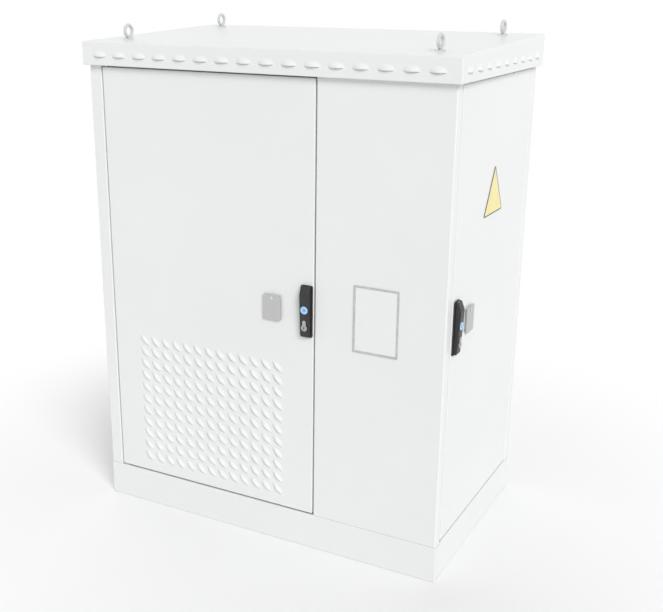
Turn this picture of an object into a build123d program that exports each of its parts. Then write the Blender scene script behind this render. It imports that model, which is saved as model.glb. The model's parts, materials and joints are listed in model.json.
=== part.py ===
"""Roadside utility cabinet: two compartments on a plinth under a louvred hood, sizes in millimetres."""

import os
from math import cos, radians, sin, sqrt, tan

from build123d import *

# Driving sizes of the body
body_width = 1030.0
body_depth = 606.0
plinth_height = 100.0
eaves_height = 1261.0
sheet = 2.0
fold_radius = 1.0
edge_chamfer = 1.0
front_strip = 37.0
side_strip = 33.0
strip_return = 30.0
front_door_width = 634.0
door_gap = 4.0
sill_gap = 3.0

# Hood
roof_overhang = 12.5
skirt_height = 60.0
roof_rise = 22.0
skirt_lip = 8.0
ceiling_share = 0.45
skirt_louvre_length = 43.0
skirt_louvre_width = 15.0
skirt_louvre_height = 5.5
front_skirt_louvres = 16
side_skirt_louvres = 9
skirt_row_share = 0.97
skirt_end_share = 0.3
eye_inset = 75.0
eye_ring_radius = 15.0
eye_wire_radius = 4.5
eye_wire_sides = 8
eye_shank_radius = 6.0
eye_shank_length = 18.0
spacer_radius = 13.0

# Plinth
plinth_flange = 45.0
bracket_leg = 70.0
bracket_thickness = 4.0
anchor_radius = 7.0
anchor_inset = 28.0

# Doors
door_depth = 20.0
pivot_inset = 8.0
pivot_depth = 7.0
hinge_pin_radius = 3.0
hinge_collar_radius = 3.8
hinge_head_height = 3.0
hinge_play = 0.18
running_fit = 0.06
bush_height = 20.0
bush_width = 14.0
seal_width = 12.0
seal_thickness = 10.0
lip_clearance = 0.3
hinge_lip_inset = 26.0
lock_lip_inset = 60.0
end_lip_inset = 18.0

# Louvre field of the front door
louvre_rows = 11
louvre_pitch = 35.7
louvre_length = 40.0
louvre_width = 13.0
louvre_height = 4.6
louvre_turn = -45.0
louvre_skin = 1.2
louvre_taper_share = 1.4
louvre_slant_share = 1 / 3
louvre_overrun_share = 1 / 6
louvre_foot_share = 1.5
louvre_crest_share = 0.6
filter_rim = 6.0
filter_depth = 18.0
filter_bar = 8.0
filter_bar_shares = (0.25, 0.5, 0.75)

# Handle and lock, the same on both doors
handle_middle = 677.5
handle_length = 138.0
dish_width = 34.0
dish_depth = 4.0
dish_corner = 5.0
front_lock_inset = 18.5
side_lock_inset = 24.0
lever_width = 27.0
lever_crown = 18.5
lever_foot = 12.5
lever_clearance = 0.3
nose_radius = 2.6
nose_height = 5.6
crown_drop = 24.0
turn_drop = 20.0
lift_pin_radius = 1.2
hub_width = 12.0
spindle_radius = 5.5
cap_drop = 62.5
cap_radius = 12.0
cylinder_drop = 110.0
cylinder_radius = 8.5
cylinder_neck_radius = 5.0
cylinder_neck_reach = 15.5
cylinder_proud = 3.0
plug_radius = 6.0
keyway_width = 2.2
keyway_length = 8.0
clamp_width = 26.0
clamp_thickness = 2.5
cam_reach = 9.0
cam_pin_radius = 2.0
cam_thickness = 2.5
rod_width = 7.0
rod_thickness = 2.5
rod_gap = 0.5
yoke_play_share = 0.215
guide_height = 12.0

# Lock cover beside each handle
cover_inset = 118.0
cover_width = 52.0
cover_height = 68.0
cover_thickness = 2.5
cover_corner = 5.0
cover_bottom = 640.0
rivet_drop = 6.0
rivet_radius = 2.5
keyhole_radius = 4.0

# Inspection window in the fixed panel
window_place_share = 0.48
window_middle_z = 679.0
window_width = 122.0
window_height = 174.0
window_rim = 5.0
pane_thickness = 4.0

# Inside
rack_opening = 450.0
rack_flange = 30.0
rack_leg = 36.0
rack_setback = 90.0
rack_depth = 380.0
rack_unit = 44.45
rack_holes = 22
rack_hole = 9.5
cable_slot_width = 400.0
cable_slot_depth = 130.0
passage_shares = (0.12, 0.9)
vent_shares = (0.25, 0.75)
gland_count = 4
gland_radius = 18.0
gland_nut_radius = 15.5
gland_thread_radius = 14.0
gland_thread_length = 12.0
gland_collar_height = 8.0
gland_height = 24.0
gland_bore_radius = 9.0
plate_width = 420.0
plate_height = 760.0
plate_bottom = 330.0
plate_stand_off = 18.0
stand_off_radius = 9.0
rail_height = 35.0
rail_depth = 7.5
rail_shares = (0.80, 0.52, 0.24)
breaker_width = 18.0
breaker_count = 8
breaker_height = 84.0
breaker_depth = 58.0
breaker_case_share = 0.72
toggle_depth = 6.0
bar_length = 220.0
bar_height = 20.0
bar_thickness = 5.0

# Levels and edges that follow from the sizes
half_width = body_width / 2
half_depth = body_depth / 2
sill = plinth_height + sheet
door_low = sill + sill_gap
door_high = eaves_height - door_gap
ceiling = eaves_height + ceiling_share * skirt_height
front_hinge_x = -half_width + front_strip + door_gap
panel_left_x = front_hinge_x + front_door_width + door_gap
side_hinge_y = half_depth - side_strip - door_gap
side_door_width = body_depth - 2 * (side_strip + door_gap)
handle_top = handle_middle + handle_length / 2
handle_bottom = handle_middle - handle_length / 2
turn_height = handle_top - turn_drop
lever_rest = dish_depth + lever_clearance
lift_height = handle_top - nose_radius - lift_pin_radius
lift_depth = lever_rest + nose_radius
cylinder_height = handle_top - cylinder_drop
rod_travel = cam_reach
clear = lever_clearance
window_middle_x = panel_left_x + window_place_share * (half_width - panel_left_x)
seal_shift = (seal_width - sheet) / 2

# Frames on the two door faces: x along the face, y up, z outwards
front_face = Plane(origin=(front_hinge_x, -half_depth, 0), x_dir=(1, 0, 0), z_dir=(0, -1, 0))
side_face = Plane(origin=(half_width, side_hinge_y, 0), x_dir=(0, 1, 0), z_dir=(1, 0, 0))
# Frames for sections that run along X and along Y
across = Plane(origin=(0, 0, 0), x_dir=(0, 1, 0), z_dir=(1, 0, 0))
along = Plane(origin=(0, 0, 0), x_dir=(1, 0, 0), z_dir=(0, -1, 0))


def block(xs, ys, zs):
    """Box between two values on each axis."""
    low = [min(pair) for pair in (xs, ys, zs)]
    size = [abs(pair[1] - pair[0]) for pair in (xs, ys, zs)]
    return Pos(*low) * Box(*size, align=(Align.MIN, Align.MIN, Align.MIN))


def rod(centre, radius, zs):
    """Round bar along z between two heights."""
    height = abs(zs[1] - zs[0])
    bar = Cylinder(radius, height, align=(Align.CENTER, Align.CENTER, Align.MIN))
    return Pos(centre[0], centre[1], min(zs)) * bar


def outline(corners):
    """Flat face on XY from corners given as x, y and corner radius."""
    count = len(corners)
    turns = []
    for index in range(count):
        here = Vector(corners[index][0], corners[index][1])
        before = Vector(corners[index - 1][0], corners[index - 1][1])
        after = Vector(corners[(index + 1) % count][0], corners[(index + 1) % count][1])
        radius = corners[index][2]
        back = (before - here).normalized()
        ahead = (after - here).normalized()
        if radius == 0:
            turns.append((here, None, here))
            continue
        half = radians(back.get_angle(ahead)) / 2
        middle = (back + ahead).normalized()
        reach = radius / tan(half)
        crest = here + middle * (radius / sin(half) - radius)
        turns.append((here + back * reach, crest, here + ahead * reach))
    edges = []
    for index in range(count):
        start, crest, end = turns[index]
        if crest is not None:
            edges.append(Edge.make_three_point_arc(start, crest, end))
        edges.append(Edge.make_line(end, turns[(index + 1) % count][0]))
    return Face(Wire(edges))


def plate(corners, zs):
    """Outline extruded along z between two heights."""
    raised = extrude(outline(corners), amount=abs(zs[1] - zs[0]), dir=(0, 0, 1))
    return Pos(0, 0, min(zs)) * raised


def rounded(xs, ys, radius):
    """Corners of a rectangle with one corner radius."""
    return [(xs[0], ys[0], radius), (xs[1], ys[0], radius), (xs[1], ys[1], radius), (xs[0], ys[1], radius)]


def folded(points):
    """Section of a folded sheet; the points follow its outer face and the sheet lies to their right."""
    directions = []
    for start, end in zip(points[:-1], points[1:]):
        directions.append((Vector(*end) - Vector(*start)).normalized())
    rights = [Vector(way.Y, -way.X) for way in directions]
    outer = [(points[0][0], points[0][1], 0)]
    first = Vector(*points[0]) + rights[0] * sheet
    inner = [(first.X, first.Y, 0)]
    for index in range(1, len(points) - 1):
        corner = Vector(*points[index])
        shifted = corner + (rights[index - 1] + rights[index]) * sheet
        left_turn = directions[index - 1].cross(directions[index]).Z > 0
        outer_radius = fold_radius if left_turn else fold_radius + sheet
        inner_radius = fold_radius + sheet if left_turn else fold_radius
        outer.append((corner.X, corner.Y, outer_radius))
        inner.append((shifted.X, shifted.Y, inner_radius))
    outer.append((points[-1][0], points[-1][1], 0))
    last = Vector(*points[-1]) + rights[-1] * sheet
    inner.append((last.X, last.Y, 0))
    return outer + inner[::-1]


def frame_ring(xs, ys, width, zs):
    """Rectangular ring of one width between two heights."""
    outer = block(xs, ys, zs)
    hole = block((xs[0] + width, xs[1] - width), (ys[0] + width, ys[1] - width), zs)
    return outer - hole


def polyhedron(points, faces):
    """Solid from corner points and faces that list them."""
    sides = []
    for face in faces:
        sides.append(Face(Wire.make_polygon([points[corner] for corner in face], close=True)))
    return Solid(Shell(sides))


wedge_faces = [(0, 3, 2, 1), (0, 1, 5, 4), (1, 2, 5), (2, 3, 4, 5), (3, 0, 4)]


def louvre_pair(length, width, height):
    """Hood of a pressed louvre and the cutter for its hollow; it opens along y = 0 and faces +z."""
    half = length / 2
    taper = height * louvre_taper_share
    slant = width * louvre_slant_share
    root = -sheet / 2
    top = half - taper
    hood_points = [(-half, 0, 0), (half, 0, 0), (half - slant, width, 0), (slant - half, width, 0),
                   (-top, 0, height), (top, 0, height)]
    hood = polyhedron(hood_points, wedge_faces)
    foot = [(-half, 0, 0), (half, 0, 0), (half - slant, width, 0), (slant - half, width, 0)]
    hood = hood + plate(foot, (root, 0))
    drop = louvre_skin * sqrt(1 + (height / width) ** 2)
    reach = width * (1 - drop / height)
    front = -width * louvre_overrun_share
    high = height * (1 - front / width) - drop
    end = half - louvre_skin * louvre_foot_share
    end_top = top - louvre_skin * louvre_crest_share
    end_back = end - slant * reach / width
    hollow_points = [(-end, front, 0), (end, front, 0), (end_back, reach, 0), (-end_back, reach, 0),
                     (-end_top, front, high), (end_top, front, high)]
    hollow = polyhedron(hollow_points, wedge_faces)
    mouth = end + (end_back - end) * front / (front - reach)
    slit = [(-mouth, 0, 0), (mouth, 0, 0), (end_back, reach, 0), (-end_back, reach, 0)]
    hollow = hollow + plate(slit, (-2 * sheet, 0))
    return hood, hollow


def with_louvres(panel, places, length, width, height):
    """Panel with a pressed louvre at each place."""
    hood, hollow = louvre_pair(length, width, height)
    panel = panel + [place * hood for place in places]
    return panel - [place * hollow for place in places]


def on_front(shape):
    """Moves a shape from the door frame to the front door."""
    return front_face * shape


def on_side(shape):
    """Moves a shape from the door frame to the side door, mirrored so that its hinge is at the rear."""
    return side_face * mirror(shape, about=Plane.YZ)


def door_lip(width):
    """Outer edges of the sealing lip around a door opening."""
    return (hinge_lip_inset, width - lock_lip_inset), (door_low + end_lip_inset, door_high - end_lip_inset)


def door_frame(width):
    """Rain channel behind a door: back plate and lip."""
    lip_x, lip_y = door_lip(width)
    back = block((-door_gap - sheet, width + door_gap + sheet), (sill, eaves_height + sheet),
                 (-strip_return - sheet, -strip_return))
    hole = block((lip_x[0] + sheet, lip_x[1] - sheet), (lip_y[0] + sheet, lip_y[1] - sheet),
                 (-strip_return - sheet, -strip_return))
    lip_top = -sheet - seal_thickness - lip_clearance
    lip = frame_ring(lip_x, lip_y, sheet, (-strip_return, lip_top))
    return back - hole + lip


def door_pan(width, lock_x):
    """Folded door leaf, open at the back."""
    pan = block((0, width), (door_low, door_high), (-door_depth, 0))
    pan = chamfer(pan.faces().sort_by(Axis.Z)[-1].edges(), edge_chamfer)
    pan = pan - block((sheet, width - sheet), (door_low + sheet, door_high - sheet), (-door_depth, -sheet))
    spindle_half = spindle_radius + sheet
    pan = pan - block((lock_x - spindle_half, lock_x + spindle_half),
                      (turn_height - spindle_half, turn_height + spindle_half), (-sheet, 0))
    pin_half = hinge_pin_radius + sheet / 2
    pin_x = (pivot_inset - pin_half, pivot_inset + pin_half)
    pin_z = (-pivot_depth - pin_half, -pivot_depth + pin_half)
    pan = pan - block(pin_x, (door_low, door_low + sheet), pin_z)
    return pan - block(pin_x, (door_high - sheet, door_high), pin_z)


def door_seal(width):
    """Foam ring on the inner face of a door, opposite the lip."""
    lip_x, lip_y = door_lip(width)
    ring_x = (lip_x[0] - seal_shift, lip_x[1] + seal_shift)
    ring_y = (lip_y[0] - seal_shift, lip_y[1] + seal_shift)
    return frame_ring(ring_x, ring_y, seal_width, (-sheet - seal_thickness, -sheet))


def upright(radius, low, high):
    """Round bar along the hinge axis of a door."""
    bar = Rot(-90, 0, 0) * rod((0, 0), radius, (low, high))
    return Pos(pivot_inset, 0, -pivot_depth) * bar


def hinge_pins():
    """Top pin hung in the header and bottom pin standing on the base tray."""
    header_top = eaves_height + sheet
    top = upright(hinge_pin_radius, door_high - bush_height, header_top)
    top = top + upright(hinge_collar_radius, header_top, header_top + hinge_head_height)
    low = upright(hinge_pin_radius, sill, door_low + bush_height - sheet)
    low = low + upright(hinge_collar_radius, sill, door_low - hinge_play)
    return Compound(children=[top, low])


def hinge_bushes():
    """Bush blocks in the two hinge corners of a door."""
    made = []
    for low in (door_low + sheet, door_high - sheet - bush_height):
        bush = block((sheet, sheet + bush_width), (low, low + bush_height),
                     (-2 * pivot_depth, -sheet))
        made.append(bush - upright(hinge_pin_radius + running_fit, low, low + bush_height))
    return Compound(children=made)


def handle_dish(lock_x):
    """Flat dish under the lever."""
    half = dish_width / 2
    dish = plate(rounded((-half, half), (handle_bottom, handle_top), dish_corner), (0, dish_depth))
    dish = chamfer(dish.faces().sort_by(Axis.Z)[-1].edges(), edge_chamfer)
    dish = dish - rod((0, turn_height), spindle_radius + running_fit, (0, dish_depth))
    return Pos(lock_x, 0, 0) * dish


def side_section(corners, half):
    """Section drawn as height and depth, extruded across the lever to both sides."""
    section = Plane(origin=(-half, 0, 0), x_dir=(0, 1, 0), z_dir=(1, 0, 0))
    return section * plate(corners, (0, 2 * half))


def cross_bar(radius, half):
    """Round bar across the lever on its lifting axis."""
    bar = Rot(0, 90, 0) * rod((0, 0), radius, (-half, half))
    return Pos(0, lift_height, lift_depth) * bar


def lever_depth(height):
    """Depth of the lever's sloping face at one height."""
    foot_height = handle_bottom + dish_depth + nose_radius
    crown_height = handle_top - crown_drop
    share = (height - foot_height) / (crown_height - foot_height)
    return lever_foot + share * (lever_crown - lever_foot)


def cylinder_shape(radius_gain, zs):
    """Profile cylinder: round barrel with a narrower neck above it."""
    neck_half = cylinder_neck_radius + radius_gain
    barrel = rod((0, cylinder_height), cylinder_radius + radius_gain, zs)
    neck = block((-neck_half, neck_half), (cylinder_height, cylinder_height + cylinder_neck_reach), zs)
    tip = rod((0, cylinder_height + cylinder_neck_reach), neck_half, zs)
    return barrel + neck + tip


cylinder_seat = lever_rest + sheet
cylinder_face = lever_depth(cylinder_height) + cylinder_proud
plug_seat = cylinder_seat + sheet
cap_seat = lever_depth(handle_top - cap_drop) - sheet
hub_ceiling = lift_depth + lift_pin_radius + clear


def handle_lever(lock_x):
    """Lever with its hub pocket, cylinder pocket and cap recess."""
    foot = handle_bottom + dish_depth / 2
    crown_height = handle_top - crown_drop
    nose = handle_top - lift_pin_radius
    corners = [(nose, lever_rest, nose_radius), (nose, lever_rest + nose_height, lift_pin_radius),
               (crown_height, lever_crown, lever_crown / 2),
               (foot + nose_radius + dish_depth / 2, lever_foot, sheet),
               (foot, lever_foot - sheet, sheet / 2), (foot, lever_rest, 0)]
    half = lever_width / 2
    body = side_section(corners, half)
    span = block((-half, half), (foot, nose), (lever_rest, lever_crown))
    trimmed = plate([(-half, foot, dish_corner), (half, foot, dish_corner), (half, nose, sheet),
                     (-half, nose, sheet)], (lever_rest, lever_crown))
    body = body - (span - trimmed)
    hub_half = hub_width / 2 + clear
    hub_low = turn_height - spindle_radius - sheet - 4 * clear
    body = body - block((-hub_half, hub_half), (hub_low, handle_top), (lever_rest, hub_ceiling + clear))
    body = body - cross_bar(lift_pin_radius + running_fit, half)
    body = body - cylinder_shape(running_fit, (cylinder_seat, cylinder_face))
    body = body - rod((0, handle_top - cap_drop), cap_radius + running_fit, (cap_seat, lever_crown))
    return Pos(lock_x, 0, 0) * body


def handle_spindle(lock_x):
    """Spindle with the hub head that carries the lifting pin."""
    low = turn_height - spindle_radius - sheet
    end = lift_pin_radius + clear
    corners = [(low, lever_rest, 0), (lift_height - end, lever_rest, 0),
               (lift_height + end, lift_depth - end, lift_pin_radius),
               (lift_height + end, hub_ceiling, lift_pin_radius), (low, hub_ceiling, 0)]
    hub = side_section(corners, hub_width / 2)
    hub = hub + cross_bar(lift_pin_radius, lever_width / 2 - clear)
    cam_top = -sheet - clamp_thickness - cam_thickness
    return Pos(lock_x, 0, 0) * (hub + rod((0, turn_height), spindle_radius, (cam_top, lever_rest)))


def handle_cap(lock_x):
    """Coloured cap in the lever."""
    top = lever_depth(handle_top - cap_drop) + clear * 2
    return Pos(lock_x, 0, 0) * rod((0, handle_top - cap_drop), cap_radius, (cap_seat, top))


def lock_cylinder(lock_x):
    """Profile cylinder in the lever, with the bore for its plug."""
    barrel = cylinder_shape(0, (cylinder_seat, cylinder_face))
    barrel = barrel - rod((0, cylinder_height), plug_radius + running_fit, (plug_seat, cylinder_face))
    return Pos(lock_x, 0, 0) * barrel


def cylinder_plug(lock_x):
    """Plug that the key turns, with its keyway."""
    plug = rod((0, cylinder_height), plug_radius, (plug_seat, cylinder_face + clear))
    keyway = block((-keyway_width / 2, keyway_width / 2),
                   (cylinder_height - keyway_length / 2, cylinder_height + keyway_length / 2),
                   (plug_seat + sheet, cylinder_face + clear))
    return Pos(lock_x, 0, 0) * (plug - keyway)


clamp_back = -sheet - clamp_thickness
cam_front = clamp_back - cam_thickness
cam_back = cam_front - cam_thickness
upper_rod = (cam_back - rod_gap - rod_thickness, cam_back - rod_gap)
lower_rod = (upper_rod[0] - rod_gap - rod_thickness, upper_rod[0] - rod_gap)


def lock_clamp(lock_x):
    """Plate behind the door skin that holds the dish."""
    half = clamp_width / 2
    ends = (handle_bottom + cap_radius, handle_top - dish_corner)
    clamp = block((-half, half), ends, (clamp_back, -sheet))
    clamp = clamp - rod((0, turn_height), spindle_radius + 2 * clear, (clamp_back, -sheet))
    boss_half = spindle_radius - cam_pin_radius
    for height in (handle_bottom + 2 * cap_radius, turn_height - 4 * spindle_radius):
        clamp = clamp + block((-boss_half, boss_half), (height - boss_half, height + boss_half),
                              (clamp_back - cam_thickness, clamp_back))
    return Pos(lock_x, 0, 0) * clamp


def lock_cam(lock_x):
    """Cam on the spindle's end with one pin for each rod."""
    half = cam_reach + cam_pin_radius + sheet / 2
    cam = block((-half, half), (turn_height - spindle_radius, turn_height + spindle_radius),
                (cam_back, cam_front))
    cam = cam + rod((-cam_reach, turn_height), cam_pin_radius, (upper_rod[0] + rod_gap / 2, cam_back))
    cam = cam + rod((cam_reach, turn_height), cam_pin_radius, (lower_rod[0], cam_back))
    return Pos(lock_x, 0, 0) * cam


# The rods move evenly with the handle while a cam pin's height is a sine, so the slots leave that play
slot_half = cam_pin_radius + yoke_play_share * cam_reach + clear
yoke_half = slot_half + sheet
bar_far = cam_reach + cam_pin_radius
bar_near = bar_far - rod_width


def lock_rod(lock_x, side, layer, end):
    """Flat lock rod with a slotted yoke around its cam pin; side is -1 or 1 of the cam."""
    slot = (side * (cam_reach + cam_pin_radius + clear), -side * (cam_pin_radius + clear))
    yoke_x = (slot[0] + side * sheet, slot[1] - side * sheet)
    yoke = block(yoke_x, (turn_height - yoke_half, turn_height + yoke_half), layer)
    bar = block((side * bar_far, side * bar_near), (turn_height, end), layer)
    hole = block(slot, (turn_height - slot_half, turn_height + slot_half), layer)
    return Pos(lock_x, 0, 0) * (yoke + bar - hole)


def lock_mounts(lock_x):
    """Clamp plate of the dish and the guide blocks of the lock rods, all fixed to the door's back."""
    made = [lock_clamp(lock_x)]
    places = ((-1, upper_rod, (turn_height + 4 * cap_radius, door_high - 4 * cap_radius)),
              (1, lower_rod, (turn_height - handle_length, door_low + 4 * cap_radius)))
    for side, layer, heights in places:
        for height in heights:
            wall = (side * (bar_far + sheet), side * (bar_near - sheet))
            guide = block(wall, (height, height + guide_height), (layer[0] - sheet, -sheet))
            slot_x = (side * (bar_far + clear), side * (bar_near - clear))
            slot = block(slot_x, (height, height + guide_height), (layer[0] - clear, layer[1] + clear))
            made.append(Pos(lock_x, 0, 0) * (guide - slot))
    return Compound(children=made)


cover_top = cover_bottom + cover_height
rivet_height = cover_top - rivet_drop - rivet_radius


def keyhole_plate(width):
    """Keyhole plate under a lock cover, with the rivet that the cover swings on."""
    half = cover_width / 2 - cover_corner
    centre = width - cover_inset
    base = block((-half, half), (cover_bottom + cover_corner, cover_top - rivet_drop / 2),
                 (0, dish_depth - clear))
    hole_height = cover_bottom + cover_height / 2
    base = base - rod((0, hole_height), keyhole_radius, (sheet / 2, dish_depth))
    slot = block((-keyhole_radius / 2, keyhole_radius / 2), (hole_height - 3 * keyhole_radius, hole_height),
                 (sheet / 2, dish_depth))
    cap_low = dish_depth + cover_thickness + clear
    rivet = rod((0, rivet_height), rivet_radius, (0, cap_low))
    rivet = rivet + rod((0, rivet_height), rivet_radius + sheet, (cap_low, cap_low + sheet / 2))
    return Pos(centre, 0, 0) * (base - slot + rivet)


def lock_cover(width):
    """Cover plate that swings about its rivet."""
    half = cover_width / 2
    depths = (dish_depth, dish_depth + cover_thickness)
    cover = plate(rounded((-half, half), (cover_bottom, cover_top), cover_corner), depths)
    cover = cover - rod((0, rivet_height), rivet_radius + running_fit, depths)
    return Pos(width - cover_inset, 0, 0) * cover


def door_set(prefix, width, lock_inset, place):
    """Every node that one door carries, apart from its leaf, placed on the cabinet."""
    lock_x = width - lock_inset
    shapes = {
        "frame": door_frame(width),
        "hinge_pins": hinge_pins(),
        "seal": door_seal(width),
        "hinge_bushes": hinge_bushes(),
        "handle_dish": handle_dish(lock_x),
        "handle_lever": handle_lever(lock_x),
        "handle_spindle": handle_spindle(lock_x),
        "handle_cap": handle_cap(lock_x),
        "lock_cylinder": lock_cylinder(lock_x),
        "cylinder_plug": cylinder_plug(lock_x),
        "lock_cam": lock_cam(lock_x),
        "rod_upper": lock_rod(lock_x, -1, upper_rod, door_high - 2 * sheet - sill_gap),
        "rod_lower": lock_rod(lock_x, 1, lower_rod, door_low + 2 * sheet + sill_gap),
        "lock_mounts": lock_mounts(lock_x),
        "keyhole_plate": keyhole_plate(width),
        "lock_cover": lock_cover(width),
    }
    return {prefix + "_" + name: place(shape) for name, shape in shapes.items()}


nodes = {}
nodes.update(door_set("front", front_door_width, front_lock_inset, on_front))
nodes.update(door_set("side", side_door_width, side_lock_inset, on_side))

# Front door leaf with its louvre field, and the filter behind it
slant = radians(abs(louvre_turn))
louvre_reach = (louvre_length * cos(slant) + louvre_width * sin(slant)) / 2
seal_inside = seal_width - seal_shift + sheet / 2
field_room = front_door_width / 2 - lock_lip_inset - seal_inside - filter_rim - louvre_reach
louvre_columns = int(2 * field_room / louvre_pitch) + 1
field_half_x = (louvre_columns - 1) * louvre_pitch / 2
field_low = door_low + end_lip_inset + seal_inside + filter_rim + louvre_reach
field_middle_x = front_door_width / 2
field_places = []
for column in range(louvre_columns):
    for row in range(louvre_rows):
        column_x = field_middle_x - field_half_x + column * louvre_pitch
        middle = Pos(column_x, field_low + row * louvre_pitch, 0)
        field_places.append(middle * Rot(0, 0, louvre_turn) * Pos(0, -louvre_width / 2, 0))
front_leaf = door_pan(front_door_width, front_door_width - front_lock_inset)
front_leaf = with_louvres(front_leaf, field_places, louvre_length, louvre_width, louvre_height)
nodes["front_door_leaf"] = on_front(front_leaf)
nodes["side_door_leaf"] = on_side(door_pan(side_door_width, side_door_width - side_lock_inset))

filter_half_x = field_half_x + louvre_reach
filter_x = (field_middle_x - filter_half_x, field_middle_x + filter_half_x)
filter_y = (field_low - louvre_reach, field_low + (louvre_rows - 1) * louvre_pitch + louvre_reach)
filter_back = -sheet - filter_depth
mat_front = -sheet - seal_thickness / 2
rim_x = (filter_x[0] - filter_rim, filter_x[1] + filter_rim)
rim_y = (filter_y[0] - filter_rim, filter_y[1] + filter_rim)
filter_frame = frame_ring(rim_x, rim_y, filter_rim, (filter_back, -sheet))
for share in filter_bar_shares:
    bar_low = filter_y[0] + share * (filter_y[1] - filter_y[0]) - filter_bar / 2
    bar = block(filter_x, (bar_low, bar_low + filter_bar), (filter_back, filter_back + sheet))
    filter_frame = filter_frame + bar
nodes["filter_frame"] = on_front(filter_frame)
nodes["filter_mat"] = on_front(block(filter_x, filter_y, (filter_back + sheet, mat_front)))

# Plinth: front and rear panels run the full width, the side panels stand between them
plinth_section = [(-half_depth + plinth_flange, 0), (-half_depth, 0), (-half_depth, plinth_height),
                  (-half_depth + plinth_flange, plinth_height)]
front_plinth = across * plate(folded(plinth_section), (-half_width, half_width))
side_section_points = [(-half_width + plinth_flange, 0), (-half_width, 0), (-half_width, plinth_height),
                       (-half_width + plinth_flange, plinth_height)]
side_run = half_depth - plinth_flange
left_plinth = along * plate(folded(side_section_points), (-side_run, side_run))
web_span = (sheet + fold_radius, plinth_height - sheet - fold_radius)
corner_web = block((-half_width, -half_width + sheet), (-half_depth + sheet, -side_run), web_span)
left_plinth = left_plinth + [corner_web, mirror(corner_web, about=Plane.XZ)]
nodes["plinth_front"] = front_plinth
nodes["plinth_rear"] = mirror(front_plinth, about=Plane.XZ)
nodes["plinth_left"] = left_plinth
nodes["plinth_right"] = mirror(left_plinth, about=Plane.YZ)

bracket_low = (-half_width + sheet + fold_radius, -half_depth + sheet + fold_radius)
leg_x, leg_y = [(edge, edge + bracket_leg) for edge in bracket_low]
wall_x, wall_y = [(edge, edge + plinth_flange) for edge in bracket_low]
corner_bracket = block(leg_x, leg_y, (sheet, sheet + bracket_thickness))
wall_block = block(wall_x, wall_y, (sheet, plinth_height - sheet))
wall_hollow = block((wall_x[0] + bracket_thickness, wall_x[1]), (wall_y[0] + bracket_thickness, wall_y[1]),
                    (sheet + bracket_thickness, plinth_height - sheet))
anchor_x = half_width - anchor_inset
anchor_y = half_depth - anchor_inset
corner_bracket = corner_bracket + (wall_block - wall_hollow)
corner_bracket = corner_bracket - rod((-anchor_x, -anchor_y), anchor_radius, (0, 2 * bracket_thickness))
right_bracket = mirror(corner_bracket, about=Plane.YZ)
brackets = [corner_bracket, right_bracket]
brackets = brackets + [mirror(bracket, about=Plane.XZ) for bracket in brackets]
nodes["plinth_brackets"] = Compound(children=brackets)
for name in ("plinth_front", "plinth_rear"):
    for side in (-1, 1):
        for end in (-1, 1):
            nodes[name] = nodes[name] - rod((side * anchor_x, end * anchor_y), anchor_radius, (0, sheet))

# Base tray with its cable opening and gland plate
tray_edge = sheet / 2
tray_x = (-half_width + tray_edge, half_width - tray_edge)
tray_y = (-half_depth + tray_edge, half_depth - tray_edge)
tray = block(tray_x, tray_y, (plinth_height, sill))
rack_middle_x = front_hinge_x + (hinge_lip_inset + front_door_width - lock_lip_inset) / 2
slot_x = (rack_middle_x - cable_slot_width / 2, rack_middle_x + cable_slot_width / 2)
slot_y = (half_depth - 2 * cable_slot_depth, half_depth - cable_slot_depth)
nodes["base_tray"] = tray - block(slot_x, slot_y, (plinth_height, sill))
plate_edge_x = (slot_x[0] - gland_radius, slot_x[1] + gland_radius)
plate_edge_y = (slot_y[0] - gland_radius, slot_y[1] + gland_radius)
gland_seat = sill + sheet
gland_low = sill - gland_thread_length
gland_top = gland_seat + gland_height
gland_plate = block(plate_edge_x, plate_edge_y, (sill, gland_seat))
gland_middle_y = (slot_y[0] + slot_y[1]) / 2
gland_pitch = cable_slot_width / gland_count
glands = []
for index in range(gland_count):
    spot = (slot_x[0] + gland_pitch / 2 + index * gland_pitch, gland_middle_y)
    gland_plate = gland_plate - rod(spot, gland_thread_radius, (sill, gland_seat))
    thread = rod(spot, gland_thread_radius - running_fit, (gland_low, gland_seat))
    collar = Pos(*spot, gland_seat) * extrude(RegularPolygon(gland_radius, 6), amount=gland_collar_height)
    nut = Pos(*spot, gland_seat) * extrude(RegularPolygon(gland_nut_radius, 6), amount=gland_height)
    glands.append(thread + collar + nut - rod(spot, gland_bore_radius, (gland_low, gland_top)))
nodes["gland_plate"] = gland_plate
nodes["cable_glands"] = Compound(children=glands)

# Walls: folded sheets that stand on the base tray and carry the ceiling
wall_span = (sill, ceiling)
rear_edge = half_width - front_strip
left_wall = folded([(-rear_edge, -half_depth + strip_return), (-rear_edge, -half_depth),
                    (-half_width, -half_depth), (-half_width, half_depth), (-rear_edge, half_depth),
                    (-rear_edge, half_depth - door_depth)])
nodes["left_wall"] = plate(left_wall, wall_span)
rear_wall = folded([(-rear_edge, half_depth - door_depth), (-rear_edge, half_depth),
                    (rear_edge, half_depth), (rear_edge, half_depth - door_depth)])
nodes["rear_wall"] = plate(rear_wall, wall_span)
side_edge = half_depth - side_strip
rear_post = folded([(rear_edge, half_depth - door_depth), (rear_edge, half_depth), (half_width, half_depth),
                    (half_width, side_edge), (half_width - strip_return, side_edge)])
nodes["right_rear_post"] = plate(rear_post, wall_span)
fixed_panel = folded([(half_width - strip_return, -side_edge), (half_width, -side_edge),
                      (half_width, -half_depth), (panel_left_x, -half_depth),
                      (panel_left_x, -half_depth + strip_return)])
window_x = (window_middle_x - window_width / 2, window_middle_x + window_width / 2)
window_z = (window_middle_z - window_height / 2, window_middle_z + window_height / 2)
cut_x = (window_x[0] + window_rim / 2, window_x[1] - window_rim / 2)
cut_z = (window_z[0] + window_rim / 2, window_z[1] - window_rim / 2)
fixed_panel = plate(fixed_panel, wall_span)
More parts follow.
